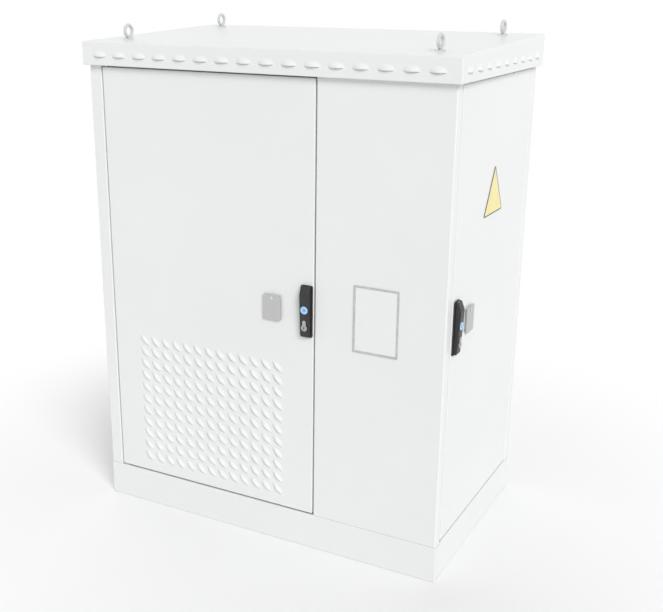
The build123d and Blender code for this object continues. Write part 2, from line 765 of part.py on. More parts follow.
fixed_panel = fixed_panel - block(cut_x, (-half_depth, -half_depth + sheet), cut_z)
nodes["fixed_panel"] = fixed_panel

# Window: rubber profile that grips the sheet, and the pane inside it
rim_front = -half_depth - sheet
rim_back = -half_depth + 2 * sheet
pane_x = (window_x[0] + window_rim, window_x[1] - window_rim)
pane_z = (window_z[0] + window_rim, window_z[1] - window_rim)
profile = block(window_x, (rim_front, -half_depth), window_z)
profile = profile + block(cut_x, (-half_depth, -half_depth + sheet), cut_z)
profile = profile + block(window_x, (-half_depth + sheet, rim_back), window_z)
nodes["window_seal"] = profile - block(pane_x, (rim_front, rim_back), pane_z)
pane_low = (rim_front + rim_back - pane_thickness) / 2
nodes["window_pane"] = block(pane_x, (pane_low, pane_low + pane_thickness), pane_z)

# Ceiling with the headers above both doors, the pin holes and the air openings
ceiling_top = ceiling + sheet
ceiling_plate = block((-half_width, half_width), (-half_depth, half_depth), (ceiling, ceiling_top))
header_section = [(-half_depth + strip_return, eaves_height), (-half_depth, eaves_height),
                  (-half_depth, ceiling)]
front_header = across * plate(folded(header_section), (-half_width + front_strip, panel_left_x))
side_points = [(half_width, ceiling), (half_width, eaves_height), (half_width - strip_return, eaves_height)]
side_header = along * plate(folded(side_points), (-side_edge, side_edge))
ceiling_plate = ceiling_plate + [front_header, side_header]
pin_hole = upright(hinge_pin_radius + running_fit, eaves_height, eaves_height + sheet)
ceiling_plate = ceiling_plate - [on_front(pin_hole), on_side(pin_hole)]
vent_half = cable_slot_depth / 2
for share in vent_shares:
    vent_x = -half_width + share * (panel_left_x + half_width)
    ceiling_plate = ceiling_plate - block((vent_x - vent_half, vent_x + vent_half), (-vent_half, vent_half),
                                          (ceiling, ceiling_top))

# Hood: a shell with louvred skirts and a lip turned in at the bottom
hood_x = half_width + roof_overhang
hood_y = half_depth + roof_overhang
skirt_top = eaves_height + skirt_height
rear_top = skirt_top + roof_rise
hood_corners = [(-hood_y, eaves_height, 0), (hood_y, eaves_height, 0), (hood_y, rear_top, 0),
                (-hood_y, skirt_top, 0)]
hood = across * plate(hood_corners, (-hood_x, hood_x))
hood = chamfer(hood.faces().sort_by(Axis.Z)[-1].edges() + hood.edges().filter_by(Axis.Z), edge_chamfer)
inside_y = hood_y - sheet
slope = roof_rise / (2 * hood_y)
inside_front = skirt_top - sheet + slope * sheet
inside_rear = rear_top - sheet - slope * sheet
room_corners = [(-inside_y, eaves_height + sheet, 0), (inside_y, eaves_height + sheet, 0),
                (inside_y, inside_rear, 0), (-inside_y, inside_front, 0)]
hood = hood - across * plate(room_corners, (-hood_x + sheet, hood_x - sheet))
mouth_x = hood_x - sheet - skirt_lip
mouth_y = hood_y - sheet - skirt_lip
hood = hood - block((-mouth_x, mouth_x), (-mouth_y, mouth_y), (eaves_height, eaves_height + sheet))
louvre_foot = eaves_height + (skirt_height - skirt_louvre_width) / 2
front_pitch = skirt_row_share * 2 * hood_x / (front_skirt_louvres + skirt_end_share)
side_pitch = skirt_row_share * 2 * hood_y / (side_skirt_louvres + skirt_end_share)
skirt_places = []
for index in range(front_skirt_louvres):
    step = (index - (front_skirt_louvres - 1) / 2) * front_pitch
    skirt_places.append(Pos(step, -hood_y, louvre_foot) * Rot(90, 0, 0))
    skirt_places.append(Pos(step, hood_y, louvre_foot) * Rot(0, 0, 180) * Rot(90, 0, 0))
for index in range(side_skirt_louvres):
    step = (index - (side_skirt_louvres - 1) / 2) * side_pitch
    skirt_places.append(Pos(hood_x, step, louvre_foot) * Rot(0, 0, 90) * Rot(90, 0, 0))
    skirt_places.append(Pos(-hood_x, step, louvre_foot) * Rot(0, 0, -90) * Rot(90, 0, 0))
hood = with_louvres(hood, skirt_places, skirt_louvre_length, skirt_louvre_width, skirt_louvre_height)

# Lifting eyes screwed through the hood into the spacers on the ceiling
eye_x = half_width - eye_inset
eye_y = half_depth - eye_inset
above_corners = [(-hood_y, skirt_top, 0), (hood_y, rear_top, 0), (hood_y, 2 * ceiling, 0),
                 (-hood_y, 2 * ceiling, 0)]
below_corners = [(-hood_y, skirt_top - sheet, 0), (hood_y, rear_top - sheet, 0), (hood_y, plinth_height, 0),
                 (-hood_y, plinth_height, 0)]
above_roof = across * plate(above_corners, (-hood_x, hood_x))
below_roof = across * plate(below_corners, (-hood_x, hood_x))
wire = RegularPolygon(eye_wire_radius, eye_wire_sides, major_radius=False, rotation=180 / eye_wire_sides)
eye_ring = Rot(0, 90, 0) * revolve(Plane.XZ * Pos(eye_ring_radius, 0) * wire, axis=Axis.Z)
foot = RegularPolygon(spacer_radius, 6)
eyes = []
for side in (-1, 1):
    for end in (-1, 1):
        spot = (side * eye_x, end * eye_y)
        roof_level = skirt_top + slope * (spot[1] + hood_y)
        ring = Pos(*spot, roof_level + sheet + eye_ring_radius + eye_wire_radius) * eye_ring
        collar = Pos(*spot, roof_level - sheet) * extrude(foot, amount=3 * sheet) & above_roof
        shank_low = roof_level - eye_shank_length
        shank = rod(spot, eye_shank_radius, (shank_low, roof_level + 2 * sheet))
        eyes.append(ring + collar + shank)
        spacer = Pos(*spot, ceiling_top) * extrude(foot, amount=roof_level - ceiling_top) & below_roof
        bore = rod(spot, eye_shank_radius + running_fit, (shank_low - clear, roof_level + sheet))
        ceiling_plate = ceiling_plate + (spacer - bore)
        hood = hood - bore
nodes["roof_hood"] = hood
nodes["lifting_eyes"] = Compound(children=eyes)
nodes["ceiling"] = ceiling_plate

# Partition between the compartments, with cable passages
partition_x = (panel_left_x, panel_left_x + sheet)
partition = block(partition_x, (-half_depth + strip_return + sheet, half_depth - sheet), wall_span)
for share in passage_shares:
    passage_low = sill + share * (ceiling - sill) - vent_half / 2
    partition = partition - block(partition_x, slot_y, (passage_low, passage_low + vent_half))
nodes["partition"] = partition

# Rack uprights
rack_front = -half_depth + rack_setback
for end, face_y, way in (("front", rack_front, 1), ("rear", rack_front + rack_depth, -1)):
    posts = []
    for sign in (-1, 1):
        inner = rack_middle_x + sign * rack_opening / 2
        outer = inner + sign * rack_flange
        flange_y = (face_y, face_y + way * sheet)
        upright_post = block((inner, outer), flange_y, wall_span)
        leg = block((outer - sign * sheet, outer), (face_y, face_y + way * rack_leg), wall_span)
        upright_post = upright_post + leg
        hole_x = inner + sign * (rack_flange / 4)
        first = (sill + ceiling - (rack_holes - 1) * rack_unit) / 2
        if end == "front":
            holes = []
            for index in range(rack_holes):
                hole_z = first + index * rack_unit
                holes.append(block((hole_x - rack_hole / 2, hole_x + rack_hole / 2), flange_y,
                                   (hole_z - rack_hole / 2, hole_z + rack_hole / 2)))
            upright_post = upright_post - holes
        posts.append(upright_post)
    nodes["rack_" + end + "_uprights"] = Compound(children=posts)

# Right compartment: mounting plate on stand-offs, rails, breakers and earth bar
plate_low_x = panel_left_x + sheet + plate_stand_off
plate_x = (plate_low_x, plate_low_x + sheet)
plate_y = (-plate_width / 2, plate_width / 2)
plate_top = plate_bottom + plate_height
mounting_plate = block(plate_x, plate_y, (plate_bottom, plate_top))
for side in (-1, 1):
    for level in (plate_bottom + rail_height, plate_top - rail_height):
        post_y = side * (plate_width / 2 - rail_height)
        post = extrude(RegularPolygon(stand_off_radius, 6), amount=plate_stand_off)
        mounting_plate = mounting_plate + Pos(partition_x[1], post_y, level) * Rot(0, 90, 0) * post
nodes["mounting_plate"] = mounting_plate
rails = []
rail_levels = [plate_bottom + share * plate_height for share in rail_shares]
rail_wall = sheet / 2
for level in rail_levels:
    half = rail_height / 2
    step = half - rail_depth
    rail_y = (plate_y[0] + rail_height, plate_y[1] - rail_height)
    hat = block((plate_x[1], plate_x[1] + rail_depth), rail_y, (level - step, level + step))
    hat = hat - block((plate_x[1] + rail_wall, plate_x[1] + rail_depth), rail_y,
                      (level - step + rail_wall, level + step - rail_wall))
    for side in (-1, 1):
        wing = block((plate_x[1] + rail_depth - rail_wall, plate_x[1] + rail_depth), rail_y,
                     (level + side * step, level + side * half))
        hat = hat + wing
    rails.append(hat)
nodes["mounting_rails"] = Compound(children=rails)
breakers = []
breaker_base = plate_x[1] + rail_depth
case_front = breaker_base + breaker_case_share * breaker_depth
nose_front = breaker_base + breaker_depth
for index in range(breaker_count):
    start_y = plate_y[0] + 2 * rail_height + index * breaker_width
    case_y = (start_y, start_y + breaker_width - clear)
    toggle_y = (start_y + breaker_width / 3, start_y + 2 * breaker_width / 3)
    level = rail_levels[0]
    half = breaker_height / 2
    case = block((breaker_base, case_front), case_y, (level - half, level + half))
    nose = block((case_front, nose_front), case_y, (level - half / 2, level + half / 2))
    toggle = block((nose_front, nose_front + toggle_depth), toggle_y, (level, level + half / 4))
    breakers.append(case + nose + toggle)
nodes["breakers"] = Compound(children=breakers)
bar_level = plate_bottom + 3 * bar_height / 2
bar_back = plate_x[1] + bar_height / 2
bar_z = (bar_level, bar_level + bar_height)
earth_bar = block((bar_back, bar_back + bar_thickness), (-bar_length / 2, bar_length / 2), bar_z)
for side in (-1, 1):
    foot_y = side * (bar_length / 2 - bar_height / 2)
    bar_foot = block((plate_x[1], bar_back), (foot_y - bar_thickness, foot_y + bar_thickness), bar_z)
    earth_bar = earth_bar + bar_foot
nodes["earth_bar"] = earth_bar

os.makedirs("parts", exist_ok=True)
for name, shape in nodes.items():
    export_step(shape, "parts/" + name + ".step")
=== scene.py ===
"""Dresses a roadside utility cabinet: pressed sheet metal, locks, seals, fit-out and a plain studio stage."""

import json
from collections import namedtuple
from math import copysign, cos, pi, radians, sin

import bmesh
import bpy
from bpy.props import FloatProperty, FloatVectorProperty, IntProperty, PointerProperty
from mathutils import Matrix, Vector

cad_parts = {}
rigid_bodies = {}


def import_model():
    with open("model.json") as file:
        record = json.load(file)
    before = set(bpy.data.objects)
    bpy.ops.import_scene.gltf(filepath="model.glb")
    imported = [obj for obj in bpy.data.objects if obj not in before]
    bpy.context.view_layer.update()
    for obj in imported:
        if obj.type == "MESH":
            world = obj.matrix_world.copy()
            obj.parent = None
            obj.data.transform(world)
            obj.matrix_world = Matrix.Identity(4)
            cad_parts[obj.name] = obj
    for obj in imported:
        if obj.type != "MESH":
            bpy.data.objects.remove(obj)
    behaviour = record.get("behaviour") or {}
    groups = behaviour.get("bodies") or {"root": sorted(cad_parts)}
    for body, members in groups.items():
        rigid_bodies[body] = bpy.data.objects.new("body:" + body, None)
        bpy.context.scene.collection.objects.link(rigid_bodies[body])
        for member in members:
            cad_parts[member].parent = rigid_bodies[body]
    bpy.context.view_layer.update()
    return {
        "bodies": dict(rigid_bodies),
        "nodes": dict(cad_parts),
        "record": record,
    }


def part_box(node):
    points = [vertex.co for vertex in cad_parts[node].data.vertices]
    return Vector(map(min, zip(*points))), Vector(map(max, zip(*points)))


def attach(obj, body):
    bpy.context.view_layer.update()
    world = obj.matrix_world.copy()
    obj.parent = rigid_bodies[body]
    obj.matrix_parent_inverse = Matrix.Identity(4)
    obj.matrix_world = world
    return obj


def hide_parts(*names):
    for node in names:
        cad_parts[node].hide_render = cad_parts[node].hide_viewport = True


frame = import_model()

bl_info = {
    "name": "Roadside Utility Cabinet",
    "version": (1, 0, 0),
    "blender": (4, 5, 0),
    "location": "View3D > Sidebar > Cabinet",
    "description": "Dresses the cabinet's frame with sheet metal, locks, seals, fit-out and a stage",
    "category": "Object",
}

doors = ("front", "side")

# Vertices nearer than the first are one, and places that differ by less than the second are equal
weld, slack = 1e-7, 1e-6


def length(name, description, default):
    """Property for one length in metres."""
    return FloatProperty(name=name, description=description, default=default, unit="LENGTH", precision=4)


def count(name, description, default):
    """Property for a number of like pieces."""
    return IntProperty(name=name, description=description, default=default)


def colour(name, description, default):
    """Property for one colour, as linear values."""
    return FloatVectorProperty(name=name, description=description, default=default, subtype="COLOR")


class CabinetSizes(bpy.types.PropertyGroup):
    """Sizes of the modelled pieces, in metres."""

    sheet: length("Sheet", "Thickness of the folded sheet", 0.002)
    fold_radius: length("Fold radius", "Outer radius of a folded edge", 0.0022)
    skin_border: length("Skin border", "Plain strip along a fold, before any pressing", 0.008)
    louvre_columns: count("Louvre columns", "Louvres across the front door", 13)
    louvre_rows: count("Louvre rows", "Louvres up the front door", 11)
    louvre_pitch: length("Louvre pitch", "Distance between louvres of the door", 0.0357)
    louvre_length: length("Louvre length", "Length of a door louvre along its mouth", 0.040)
    louvre_width: length("Louvre width", "Width of a door louvre from mouth to heel", 0.013)
    louvre_height: length("Louvre height", "How far a door louvre stands out", 0.0046)
    louvre_turn: FloatProperty(
        name="Louvre turn", description="Slant of the door louvres", default=radians(-45), subtype="ANGLE")
    skirt_louvre_length: length("Skirt louvre length", "Length of a hood louvre", 0.043)
    skirt_louvre_width: length("Skirt louvre width", "Width of a hood louvre", 0.015)
    skirt_louvre_height: length("Skirt louvre height", "How far a hood louvre stands out", 0.0055)
    skirt_front_count: count("Front skirt louvres", "Louvres along the front of the hood", 16)
    skirt_side_count: count("Side skirt louvres", "Louvres along a side of the hood", 9)
    skirt_lip: length("Skirt lip", "Width of the lip under the hood", 0.010)
    plate_edge: length("Plate edge", "Rounding of a cut sheet edge", 0.0004)
    moulded_edge: length("Moulded edge", "Rounding of a moulded plastic edge", 0.0009)
    foam_edge: length("Foam edge", "Rounding of the foam seals and the filter mat", 0.0028)
    dish_corner: length("Dish corner", "Corner radius of a handle dish", 0.005)
    dish_rim: length("Dish rim", "Width of the raised rim of a dish", 0.0022)
    dish_sink: length("Dish sink", "Depth of the dish inside its rim", 0.0007)
    crown_drop: length("Crown drop", "Height of the lever's ramp, from nose to crown", 0.0228)
    nose_height: length("Nose height", "Thickness of the lever's nose", 0.0056)
    nose_radius: length("Nose radius", "Rounding under the lever's nose, about its lifting pin", 0.0026)
    foot_depth: length("Foot depth", "Depth of the lever's front at its foot", 0.0125)
    foot_slope: length("Foot slope", "Height of the short slope at the lever's foot", 0.0046)
    foot_fall: length("Foot fall", "How far the front falls along that short slope", 0.002)
    lever_edge: length("Lever edge", "Rounding of the lever's front edges", 0.0015)
    hub_room: length("Hub room", "Half width of the pocket for the hub", 0.0063)
    pocket_play: length("Pocket play", "Gap around pieces set in the lever", 0.0003)
    keyway_width: length("Keyway width", "Width of the key's slot", 0.0022)
    keyway_length: length("Keyway length", "Length of the key's slot", 0.008)
    cover_corner: length("Cover corner", "Corner radius of a lock cover", 0.005)
    cover_edge: length("Cover edge", "Rounding of a lock cover's front edge", 0.0007)
    rivet_drop: length("Rivet drop", "Rivet's centre below the cover's top", 0.0085)
    rivet_radius: length("Rivet radius", "Radius of the rivet's shank", 0.0025)
    rivet_head: length("Rivet head", "Radius of the rivet's head", 0.0045)
    rivet_rise: length("Rivet rise", "Height of the rivet's head", 0.001)
    keyhole_radius: length("Keyhole radius", "Radius of the keyhole's round end", 0.004)
    keyhole_floor: length("Keyhole floor", "Sheet left under the keyhole", 0.001)
    sign_side: length("Plate side", "Side of the bare triangular plate", 0.143)
    sign_base: length("Plate base height", "Height of the plate's lower edge", 0.914)
    sign_centre: length("Plate centre", "Place of the plate along the side door", -0.0035)
    sign_corner: length("Plate corner", "Corner radius of the plate", 0.007)
    sign_border: length("Plate border", "Width of the plate's darker edge", 0.0032)
    sign_thickness: length("Plate thickness", "Thickness of the plate", 0.0012)
    eye_ring: length("Eye ring", "Radius of a lifting eye's ring", 0.015)
    eye_wire: length("Eye wire", "Radius of the ring's bar", 0.0045)
    eye_collar: length("Eye collar", "Radius of the hexagon under a lifting eye", 0.013)
    screw_radius: length("Screw radius", "Radius of the terminal screws", 0.0034)
    screw_rise: length("Screw rise", "Height of a terminal screw's head", 0.0012)
    screw_slot: length("Screw slot", "Width of a screw's slot", 0.0009)
    earth_screws: count("Earth screws", "Screws along the earth bar", 11)


class CabinetFinishes(bpy.types.PropertyGroup):
    """Colours of the finishes, as linear values."""

    paint: colour("Powder coat", "Light grey of the sheet metal", (0.775, 0.785, 0.785))
    zinc: colour("Zinc", "Zinc plated inner steel", (0.70, 0.71, 0.72))
    steel: colour("Brushed steel", "Lock covers and keyhole plates", (0.56, 0.56, 0.56))
    handle: colour("Handle", "Black plastic of the handles", (0.022, 0.022, 0.023))
    cap: colour("Cap", "Light blue of the lever's cap", (0.38, 0.64, 0.94))
    # Dark blue painted shade for the cap's rim, standing in for the shadow ring where the cap sits in its
    # pocket
    cap_rim_shade: colour("Cap rim", "Dark blue ring around the cap", (0.012, 0.035, 0.10))
    nickel: colour("Nickel", "Lock cylinder", (0.46, 0.455, 0.44))
    pane: colour("Pane", "Opal pane of the window", (0.775, 0.785, 0.785))
    rubber: colour("Rubber", "Grey profile of the window", (0.50, 0.50, 0.50))
    foam: colour("Foam", "Door seals", (0.035, 0.035, 0.037))
    fibre: colour("Fibre", "Filter mat", (0.60, 0.59, 0.55))
    gland: colour("Gland", "Cable glands", (0.10, 0.105, 0.11))
    breaker: colour("Breaker", "Cases of the breakers", (0.66, 0.66, 0.64))
    copper: colour("Copper", "Earth bar", (0.76, 0.40, 0.24))
    yellow: colour("Yellow", "Bare triangular plate", (0.83, 0.73, 0.32))
    edging: colour("Edging", "Edge of the triangular plate", (0.08, 0.08, 0.075))
    floor: colour("Floor", "Plain floor", (0.87, 0.87, 0.87))


def sizes():
    """Sizes kept on the scene."""
    return bpy.context.scene.cabinet_sizes


def colours():
    """Colours kept on the scene."""
    return bpy.context.scene.cabinet_finishes


# Node helpers for the finishes

# What a finish is laid on: its node tree, its shader and its object coordinates
Coat = namedtuple("Coat", "tree shader coords")

# The frame's own materials carry the slots' names, so these carry a prefix
finish_prefix = "cabinet_"


def add_node(tree, kind, links, values=None, **settings):
    """Adds a node with its own settings, some inputs linked and some set."""
    node = tree.nodes.new("ShaderNode" + kind)
    for name, setting in settings.items():
        setattr(node, name, setting)
    for key, output in links.items():
        tree.links.new(output, node.inputs[key])
    for key, value in (values or {}).items():
        node.inputs[key].default_value = value
    return node


def stretched(coat, scale):
    """The same coat with its pattern scaled along each axis."""
    node = add_node(coat.tree, "Mapping", {"Vector": coat.coords}, {"Scale": scale})
    return coat._replace(coords=node.outputs["Vector"])


def noise(coat, scale, detail=2):
    """Noise between 0 and 1."""
    node = add_node(coat.tree, "TexNoise", {"Vector": coat.coords}, {"Scale": scale, "Detail": detail})
    return node.outputs["Fac"]


def cells(coat, scale, output):
    """Cell pattern, as a colour for each cell or a distance."""
    return add_node(coat.tree, "TexVoronoi", {"Vector": coat.coords}, {"Scale": scale}).outputs[output]


def shaded(tone, share):
    """Colour with its brightness scaled, as four values."""
    return tuple(min(1.0, part * share) for part in tone) + (1.0,)


def tinted(coat, factor, tone, low, high):
    """Base colour that varies between two shares of one colour, over the middle of a factor's range."""
    node = add_node(coat.tree, "ValToRGB", {"Fac": factor})
    for element, place, share in zip(node.color_ramp.elements, (0.3, 0.7), (low, high)):
        element.position = place
        element.color = shaded(tone, share)
    coat.tree.links.new(node.outputs["Color"], coat.shader.inputs["Base Color"])


def worn(coat, factor, low, high):
    """Roughness that varies between two values."""
    node = add_node(coat.tree, "MapRange", {"Value": factor}, {"To Min": low, "To Max": high})
    coat.tree.links.new(node.outputs["Result"], coat.shader.inputs["Roughness"])


def bumped(coat, height, strength, distance, below=None):
    """Bump on the shader's normal, over another bump where one is given; returns its normal."""
    links = {"Height": height} if below is None else {"Height": height, "Normal": below}
    node = add_node(coat.tree, "Bump", links, {"Strength": strength, "Distance": distance})
    coat.tree.links.new(node.outputs["Normal"], coat.shader.inputs["Normal"])
    return node.outputs["Normal"]


def metallic(coat, share):
    """How far the coat is bare metal."""
    coat.shader.inputs["Metallic"].default_value = share


# Finishes, one function each

def powder_coat(coat):
    """Light grey powder coat with a fine orange peel."""
    tinted(coat, noise(coat, scale=2.2, detail=3), colours().paint, low=0.985, high=1.012)
    worn(coat, noise(coat, scale=60, detail=3), low=0.27, high=0.36)
    peel = bumped(coat, noise(coat, scale=520, detail=1), strength=0.10, distance=0.0004)
    bumped(coat, noise(coat, scale=2100), strength=0.06, distance=0.0002, below=peel)


def zinc_plate(coat):
    """Zinc plated sheet with faint spangle."""
    tinted(coat, cells(coat, scale=140, output="Color"), colours().zinc, low=0.97, high=1.02)
    worn(coat, noise(coat, scale=90, detail=4), low=0.30, high=0.46)
    bumped(coat, noise(coat, scale=800), strength=0.05, distance=0.0003)
    metallic(coat, 0.6)


def brushed_steel(coat):
    """Stainless sheet brushed upright."""
    streaks = noise(stretched(coat, (1500, 1500, 14)), scale=1, detail=3)
    tinted(coat, streaks, colours().steel, low=0.88, high=1.10)
    worn(coat, streaks, low=0.30, high=0.48)
    bumped(coat, streaks, strength=0.10, distance=0.0002)
    metallic(coat, 0.85)


def bright_steel(coat):
    """Turned steel of rivets, screws and eyes."""
    tinted(coat, noise(coat, scale=300), colours().zinc, low=0.97, high=1.07)
    worn(coat, noise(coat, scale=500), low=0.20, high=0.34)
    bumped(coat, noise(coat, scale=1500), strength=0.05, distance=0.0002)
    metallic(coat, 0.95)


def handle_plastic(coat):
    """Black glass-filled plastic with a fine grain."""
    tinted(coat, noise(coat, scale=130, detail=4), colours().handle, low=0.90, high=1.15)
    worn(coat, noise(coat, scale=260, detail=3), low=0.34, high=0.52)
    grain = bumped(coat, noise(coat, scale=1300), strength=0.22, distance=0.0003)
    bumped(coat, cells(coat, scale=2600, output="Distance"), strength=0.10, distance=0.0002, below=grain)


def cap_plastic(coat):
    """Light blue gloss plastic."""
    tinted(coat, noise(coat, scale=240), colours().cap, low=0.90, high=1.08)
    worn(coat, noise(coat, scale=500), low=0.12, high=0.22)
    bumped(coat, noise(coat, scale=900, detail=1), strength=0.04, distance=0.0002)


def cap_rim_painted_shade(coat):
    """Dark blue painted shade on the cap's rim, for the shadow ring round the cap."""
    tinted(coat, noise(coat, scale=240), colours().cap_rim_shade, low=0.85, high=1.25)
    worn(coat, noise(coat, scale=500), low=0.22, high=0.34)


def cap_centre_plastic(coat):
    """Middle blue of the cap's sunk centre: the cap's blue mixed with the rim's dark blue, as painted shade
    in the recess.
    """
    light_share = 0.55
    pairs = zip(colours().cap, colours().cap_rim_shade)
    middle = [light_share * light + (1 - light_share) * dark for light, dark in pairs]
    tinted(coat, noise(coat, scale=240), middle, low=0.90, high=1.10)
    worn(coat, noise(coat, scale=500), low=0.16, high=0.28)


def lock_nickel(coat):
    """Satin nickel of the lock cylinders."""
    streaks = noise(stretched(coat, (1, 1, 0.2)), scale=900)
    tinted(coat, streaks, colours().nickel, low=0.92, high=1.08)
    worn(coat, noise(coat, scale=700, detail=3), low=0.18, high=0.34)
    bumped(coat, streaks, strength=0.06, distance=0.0002)
    metallic(coat, 0.95)


def opal_pane(coat):
    """Opal plastic pane with a soft gloss."""
    tinted(coat, noise(coat, scale=18, detail=3), colours().pane, low=0.997, high=1.003)
    worn(coat, noise(coat, scale=40), low=0.24, high=0.28)


def window_rubber(coat):
    """Grey rubber profile."""
    tinted(coat, noise(coat, scale=90, detail=3), colours().rubber, low=0.90, high=1.08)
    worn(coat, noise(coat, scale=300, detail=3), low=0.55, high=0.70)
    bumped(coat, noise(coat, scale=1400), strength=0.05, distance=0.0003)


def foam_rubber(coat):
    """Open-pored black foam."""
    pores = cells(coat, scale=900, output="Distance")
    tinted(coat, pores, colours().foam, low=0.45, high=1.5)
    worn(coat, noise(coat, scale=400, detail=3), low=0.78, high=0.92)
    bumped(coat, pores, strength=0.55, distance=0.0006)


def filter_fibre(coat):
    """Off-white fibre mat."""
    tangle = noise(stretched(coat, (150, 150, 520)), scale=1, detail=3)
    weft = noise(stretched(coat, (520, 150, 150)), scale=1, detail=3)
    tinted(coat, tangle, colours().fibre, low=0.80, high=1.10)
    worn(coat, weft, low=0.80, high=0.95)
    lay = bumped(coat, tangle, strength=0.5, distance=0.0006)
    bumped(coat, weft, strength=0.5, distance=0.0005, below=lay)


def gland_plastic(coat):
    """Dark grey moulded plastic."""
    tinted(coat, noise(coat, scale=160, detail=3), colours().gland, low=0.80, high=1.25)
    worn(coat, noise(coat, scale=300, detail=3), low=0.38, high=0.55)
    bumped(coat, noise(coat, scale=1600), strength=0.10, distance=0.0003)


def breaker_plastic(coat):
    """Pale grey moulded plastic."""
    tinted(coat, noise(coat, scale=120, detail=3), colours().breaker, low=0.95, high=1.04)
    worn(coat, noise(coat, scale=260, detail=3), low=0.42, high=0.56)
    bumped(coat, noise(coat, scale=1700), strength=0.10, distance=0.0003)


def copper_bar(coat):
    """Bare copper with a light tarnish."""
    tinted(coat, noise(coat, scale=45, detail=5), colours().copper, low=0.70, high=1.10)
    worn(coat, noise(coat, scale=200, detail=4), low=0.24, high=0.46)
    bumped(coat, noise(stretched(coat, (900, 30, 900)), scale=1), strength=0.08, distance=0.0002)
    metallic(coat, 0.95)


def plate_yellow(coat):
    """Pale yellow enamel of the bare plate."""
    tinted(coat, noise(coat, scale=30, detail=3), colours().yellow, low=0.97, high=1.03)
    worn(coat, noise(coat, scale=150, detail=3), low=0.26, high=0.38)
    bumped(coat, noise(coat, scale=700, detail=1), strength=0.05, distance=0.0003)


def plate_edging(coat):
    """Dark edging of the bare plate."""
    tinted(coat, noise(coat, scale=60, detail=3), colours().edging, low=0.85, high=1.25)
    worn(coat, noise(coat, scale=150, detail=3), low=0.30, high=0.42)


def finish(maker):
    """Material that a finish function lays on, made only once."""
    name = finish_prefix + maker.__name__
    material = bpy.data.materials.get(name)
    if material is None:
        material = bpy.data.materials.new(name)
        material.use_nodes = True
        tree = material.node_tree
        coords = tree.nodes.new("ShaderNodeTexCoord").outputs["Object"]
        maker(Coat(tree, tree.nodes["Principled BSDF"], coords))
    return material


# Mesh helpers

def slab(bm, low, high):
    """Adds a box between two corners and returns its vertices."""
    made = bmesh.ops.create_cube(bm, size=1.0)["verts"]
    bmesh.ops.scale(bm, vec=Vector(high) - Vector(low), verts=made)
    bmesh.ops.translate(bm, vec=(Vector(high) + Vector(low)) / 2, verts=made)
    return made


def drum(bm, centre, radius, low, high, segments=40):
    """Adds a round bar along z between two heights."""
    made = bmesh.ops.create_cone(bm, cap_ends=True, cap_tris=False, segments=segments, radius1=radius,
                                 radius2=radius, depth=high - low)["verts"]
    bmesh.ops.translate(bm, vec=(centre[0], centre[1], (low + high) / 2), verts=made)


def turned(bm, profile, steps):
    """Adds a turned shape from pairs of radius and height, closed round z."""
    line = [bm.verts.new((radius, 0, height)) for radius, height in profile]
    edges = [bm.edges.new(pair) for pair in zip(line[:-1], line[1:])]
    bmesh.ops.spin(bm, geom=line + edges, cent=(0, 0, 0), axis=(0, 0, 1), angle=2 * pi, steps=steps,
                   use_merge=True)
    bmesh.ops.remove_doubles(bm, verts=bm.verts, dist=weld)
    bmesh.ops.recalc_face_normals(bm, faces=bm.faces)


def inset(bm, face, thickness, depth=0.0):
    """Insets one face evenly and sinks it where a depth is given."""
    bmesh.ops.inset_region(bm, faces=[face], thickness=thickness, depth=depth, use_boundary=True,
                           use_even_offset=True)


def raise_face(bm, face, height):
    """Extrudes a flat face along z into a closed shape."""
    made = bmesh.ops.extrude_face_region(bm, geom=[face])["geom"]
    bmesh.ops.translate(bm, vec=(0, 0, height), verts=verts_of(made))
    bmesh.ops.recalc_face_normals(bm, faces=bm.faces)


def verts_of(geom):
    """Vertices among the parts that an operator made."""
    return [part for part in geom if isinstance(part, bmesh.types.BMVert)]


def top_face(bm):
    """Face whose centre is highest."""
    return max(bm.faces, key=lambda face: face.calc_center_median().z)


def top_edges(bm, level):
    """Edges that lie at a level or above it."""
    return [edge for edge in bm.edges if all(vert.co.z > level - slack for vert in edge.verts)]


def uprights(bm, least=1e-4):
    """Edges that rise by more than a length."""
    return [edge for edge in bm.edges if abs(edge.verts[0].co.z - edge.verts[1].co.z) > least]


def turn_out(bm):
    """Turns a sheet's faces outwards, by the largest one, which faces up."""
    bmesh.ops.recalc_face_normals(bm, faces=bm.faces)
    if max(bm.faces, key=lambda face: face.calc_area()).normal.z < 0:
        bmesh.ops.reverse_faces(bm, faces=bm.faces)


def soften(bm, edges, offset, segments=3):
    """Rounds some edges."""
    bmesh.ops.bevel(bm, geom=edges, offset=offset, segments=segments, profile=0.5, affect="EDGES",
                    material=-1, clamp_overlap=True)


def soften_sharp(bm, offset, segments, least=radians(40)):
    """Rounds every outer edge that turns by more than an angle."""
    edges = []
    for edge in bm.edges:
        if edge.is_manifold and edge.is_convex and edge.calc_face_angle() > least:
            edges.append(edge)
    soften(bm, edges, offset, segments)


def clad(bm, index):
    """Gives a whole shape one of its piece's finishes."""
    for face in bm.faces:
        face.material_index = index


def mesh_of(bm, name):
    """Mesh made from a shape, which is freed."""
    mesh = bpy.data.meshes.new(name)
    bm.to_mesh(mesh)
    bm.free()
    return mesh


def placed(name, data):
    """Object in the scene that shows some data."""
    made = bpy.data.objects.new(name, data)
    bpy.context.scene.collection.objects.link(made)
    return made


def join(bm, other):
    """Adds another shape to a shape and frees it."""
    mesh = mesh_of(other, "joining")
    bm.from_mesh(mesh)
    bpy.data.meshes.remove(mesh)


